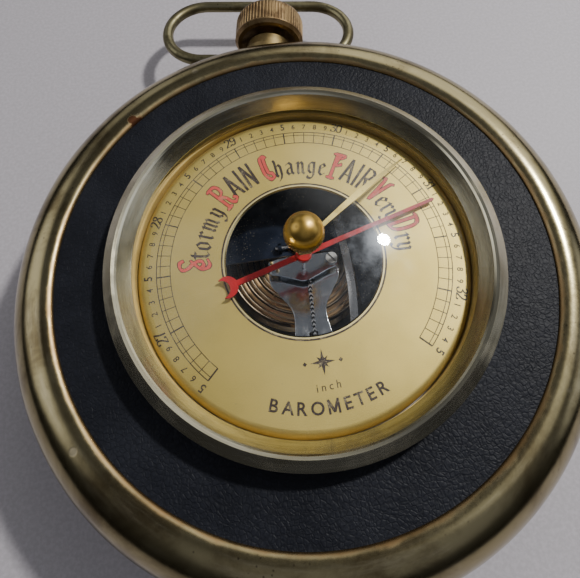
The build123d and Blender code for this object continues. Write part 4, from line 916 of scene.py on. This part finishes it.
def sans(target, character, place, height, squeeze=1.0, heavier=0.0):
    """Centres one sans letter at the place's origin."""
    if character == "M":      # its sharp corners cross over when the font thickens it
        strokes = (((0.06, 0.0), (0.06, 1.0)), ((0.06, 1.0), (0.46, 0.1)), ((0.46, 0.1), (0.86, 1.0)),
                   ((0.86, 1.0), (0.86, 0.0)))
        pen(target, strokes, lambda p: place((p[0] - 0.46 * height, p[1])), height * 0.96, 0.55, 0, 0.4)
        return
    shapes, low, width = glyph(character, heavier)
    size = height / CAP_UNIT
    for shape_xy in shapes:
        target.shape([((x - low - width / 2) * size * squeeze, y * size) for x, y in shape_xy], place)


SCALE_LOW, SCALE_HIGH, SCALE_TOP, DEG_PER_INCH = 26.5, 32.5, 29.5, 45.0
APERTURE_RING_R, APERTURE_RING_W, DIGIT_R = 21.35, 0.45, 39.42
SCALE_RINGS = ((34.72, 0.19), (37.30, 0.19), (38.26, 0.23))


def clock_of(reading):
    return (reading - SCALE_TOP) * DEG_PER_INCH


scale = Print()
first, last = clock_of(SCALE_LOW), clock_of(SCALE_HIGH)
for ring_r, ring_w in SCALE_RINGS:
    scale.ring(ring_r, ring_w, first, last)
tenths = round((SCALE_HIGH - SCALE_LOW) * 10)
for k in range(tenths + 1):
    strong = k % 5 == 0
    width = 0.42 if k in (0, tenths) else 0.36 if strong else 0.19
    scale.tick(clock_of(SCALE_LOW + k / 10), SCALE_RINGS[0][0], SCALE_RINGS[2][0], width)

small_digits = Print()
for k in range(tenths + 1):
    value = SCALE_LOW + k / 10
    digit = round(value * 10) % 10
    clock = clock_of(value)
    if digit == 0:
        label, size = str(round(value)), 2.75
        width = sum(NUMERALS[c][0] for c in label) * size
        x = -width / 2
        for c in label:
            advance, strokes = NUMERALS[c]
            pen(small_digits, strokes, on_arc(clock, DIGIT_R, x), size, 0.42, 8, 0.15, smooth=True)
            x += advance * size
    else:
        height = 2.1 if digit == 5 else 1.6
        sans(small_digits, str(digit), on_arc(clock, DIGIT_R), height, 0.95, 0.02 if digit == 5 else 0.014)

words, reds, outlines = Print(), Print(), Print()
words.ring(APERTURE_RING_R, APERTURE_RING_W, 0, 360)
BASE_R, X_HEIGHT, CAP_HEIGHT, SANS_HEIGHT = 24.6, 3.75, 7.9, 7.3


def capital(letter, clock):
    arc_place = on_arc(clock, BASE_R - 0.2, -0.22 * CAP_HEIGHT)

    def place(p):
        return arc_place((p[0] * 0.8, p[1]))

    strokes = CAPITALS[letter]
    pen(outlines, strokes, place, CAP_HEIGHT, 0.85, 25, 0.42, 0.20, 0.0, smooth=True)
    pen(reds, strokes, place, CAP_HEIGHT, 0.85, 25, 0.42, 0.03, 0.02, smooth=True)


def blackletter(word, first_clock, last_clock):
    """Small letters spread evenly between two clock angles."""
    total = sum(BLACKLETTER[c][0] for c in word)
    travelled = 0.0
    for c in word:
        advance, strokes = BLACKLETTER[c]
        middle = (travelled + advance / 2) / total
        clock = first_clock + (last_clock - first_clock) * middle
        pen(words, strokes, on_arc(clock, BASE_R, -advance / 2 * X_HEIGHT), X_HEIGHT, 0.76, 42, 0.2)
        travelled += advance


BOLD_LETTERS = {
    "A": (0.44, (((0.05, 0.0), (0.22, 1.0)), ((0.22, 1.0), (0.39, 0.0)), ((0.10, 0.28), (0.34, 0.28)))),
    "I": (0.22, (((0.11, 0.0), (0.11, 1.0)),)),
    "N": (0.44, (((0.07, 0.0), (0.07, 1.0)), ((0.07, 1.0), (0.37, 0.0)), ((0.37, 0.0), (0.37, 1.0)))),
    "R": (0.44, (((0.07, 0.0), (0.07, 1.0)),
                 ((0.07, 1.0), (0.24, 1.0), (0.35, 0.90), (0.36, 0.74), (0.30, 0.58), (0.07, 0.50)),
                 ((0.18, 0.52), (0.38, 0.0)))),
}


def bold_word(letters, first_clock, last_clock):
    """Tall, narrow, heavy sans letters spread evenly between two clock angles."""
    total, travelled = sum(BOLD_LETTERS[c][0] for c in letters), 0.0
    for c in letters:
        w, strokes = BOLD_LETTERS[c]
        clock = first_clock + (last_clock - first_clock) * (travelled + w / 2) / total
        pen(words, strokes, on_arc(clock, BASE_R + 0.3, -w / 2 * SANS_HEIGHT), SANS_HEIGHT, 0.78, 0, 0.46)
        travelled += w


capital("S", -85.8)
blackletter("tormy", -83.2, -49.6)
capital("R", -43.4)
bold_word("AIN", -38.6, -20.2)
capital("C", -12.6)
blackletter("hange", -9.8, 23.0)
capital("F", 28.2)
bold_word("AIR", 31.6, 50.4)
capital("V", 55.6)
blackletter("ery", 59.2, 75.2)
capital("D", 79.6)
blackletter("ry", 84.0, 95.6)

NAME, NAME_R, NAME_FIRST, NAME_LAST = "BAROMETER", 38.3, 202.2, 156.4
UNIT, UNIT_X, UNIT_Y = "inch", (-1.9, -0.35, 1.45, 3.25), -33.3
steps = [0.62 if c == "T" else 0.66 if c == "E" else 0.86 if c in "OM" else 0.74 for c in NAME]
travelled = 0.0
for c, w in zip(NAME, steps):
    clock = NAME_FIRST + (NAME_LAST - NAME_FIRST) * (travelled + w / 2) / sum(steps)
    sans(words, c, on_arc(clock, NAME_R, inward=True), 3.0, 0.98, 0.022)
    travelled += w
for c, x in zip(UNIT, UNIT_X):
    sans(words, c, lambda p, x=x: (p[0] + x, p[1] + UNIT_Y + 0.075 * x), 1.9, 0.95, 0.004)


def compass_star(target, x, y, size):
    """Plain eight-pointed star between two diamonds, a neutral ornament."""
    for reach, waist, turn in ((size, 0.24, 0.0), (size * 0.62, 0.34, 45.0)):
        for k in range(4):
            a, b, c = (math.radians(turn + 90.0 * k + off) for off in (0, 45, -45))
            tip = (x + reach * math.cos(a), y + reach * math.sin(a))
            sides = [(x + reach * waist * math.cos(d), y + reach * waist * math.sin(d)) for d in (b, c)]
            target.shape([(x, y), sides[1], tip, sides[0]])
    for side in (-1, 1):
        base = x + side * (size + 0.7)
        middle = base + side * 0.55
        diamond = [(base, y), (middle, y - 0.55), (base + side * 1.1, y), (middle, y + 0.55)]
        target.shape(diamond[::side])


compass_star(words, 0.4, -26.8, 3.1)

scale.done("print_scale", "ink_fine")
small_digits.done("print_numerals", "ink_fine")
words.done("print_words", "ink_brown")
outlines.done("print_outline", "ink_brown")
reds.done("print_red", "ink_red")

# ---- floor, light and camera
table = Graph("pale_table", roughness=0.55)
speckle = table.noise(900.0, 3.0, 0.6)
table.colour(table.mix(table.ramp(speckle, 0.35, 0.7), (0.385, 0.362, 0.388), (0.445, 0.42, 0.452)))
table.rough(table.between(speckle, 0.5, 0.65))
bpy.ops.mesh.primitive_plane_add(size=6.0)
floor = bpy.context.object
floor.name = "floor"
floor.data.materials.append(table.material)

world = bpy.data.worlds.new("studio")
bpy.context.scene.world = world
world.use_nodes = True
sky = Tree(world.node_tree)
direction = sky.node("TexCoord").outputs["Generated"]
height = sky.node("SeparateXYZ", {0: direction}).outputs["Z"]
gradient = sky.node("ValToRGB", {0: height})
dark_stop, light_stop = gradient.color_ramp.elements
dark_stop.position, dark_stop.color = 0.02, (0.012, 0.012, 0.013, 1)
light_stop.position, light_stop.color = 0.95, (0.20, 0.205, 0.225, 1)


def sky_lobe(light, towards, near, far, tone):
    """Adds a soft bright patch to the sky, full inside `near` degrees and gone beyond `far`."""
    dot = sky.vector("DOT_PRODUCT", direction, Vector(towards).normalized(), "Value")
    fade = sky.node("MapRange", {"Value": dot, "From Min": math.cos(math.radians(far)),
                                 "From Max": math.cos(math.radians(near))}, interpolation_type="SMOOTHERSTEP")
    inputs = {0: fade.outputs["Result"], 6: light, 7: (*tone, 1)}
    return sky.node("Mix", inputs, data_type="RGBA", blend_type="ADD").outputs[2]


sky_light = gradient.outputs[0]
for lobe in (
    ((0.55, 0.75, 0.60), 8, 36, (2.5, 2.45, 2.35)),
    ((-0.75, 0.25, 0.62), 6, 32, (2.0, 2.0, 2.05)),
    ((0.10, -0.55, 0.85), 10, 40, (0.30, 0.31, 0.35)),
    ((-0.35, 0.90, 0.42), 4, 20, (0.8, 0.8, 0.8)),
    ((0.95, -0.10, 0.40), 5, 24, (1.3, 1.35, 1.5)),
    ((0.40, 0.05, 0.92), 4, 20, (0.9, 0.9, 0.9)),
):
    sky_light = sky_lobe(sky_light, *lobe)
background = sky.node("Background", {"Color": sky_light, "Strength": 0.50})
sky.node("OutputWorld", {"Surface": background.outputs[0]})

camera = bpy.data.cameras.new("camera")
view_from = bpy.data.objects.new("camera", camera)
bpy.context.scene.collection.objects.link(view_from)
right, up, back = (0.98929, -0.14473, -0.01899), (0.13789, 0.8839, 0.44689), (-0.04789, -0.44472, 0.89439)
spot = Vector((-0.00790, -0.04698, 0.16866))
view_from.matrix_world = Matrix([[right[i], up[i], back[i], spot[i]] for i in range(3)] + [[0, 0, 0, 1]])
camera.sensor_width = 36.0
camera.lens = 33.58
camera.shift_y = -0.169
camera.clip_start, camera.clip_end = 0.01, 20.0
bpy.context.scene.camera = view_from

# A small lamp whose mirror image in the dome falls on its right side
LAMP_DISTANCE, LAMP_SIZE, LAMP_POWER = 0.9, 0.075, 8.5
mirror_point = Vector((0.0197, -0.0020, (GLASS_CENTRE_Z + GLASS_OUTER_R * 0.9823) * MM))
normal = (mirror_point - Vector((0, 0, GLASS_CENTRE_Z * MM))).normalized()
sight = (mirror_point - spot).normalized()
bounce = sight - 2 * sight.dot(normal) * normal
lamp = bpy.data.lights.new("lamp", "AREA")
lamp.shape, lamp.size, lamp.energy, lamp.color = "DISK", LAMP_SIZE, LAMP_POWER, (1.0, 0.985, 0.955)
holder = bpy.data.objects.new("lamp", lamp)
holder.location = mirror_point + bounce * LAMP_DISTANCE
holder.rotation_mode = "QUATERNION"
holder.rotation_quaternion = (mirror_point - holder.location).to_track_quat("-Z", "Y")
bpy.context.scene.collection.objects.link(holder)

bpy.context.view_layer.update()
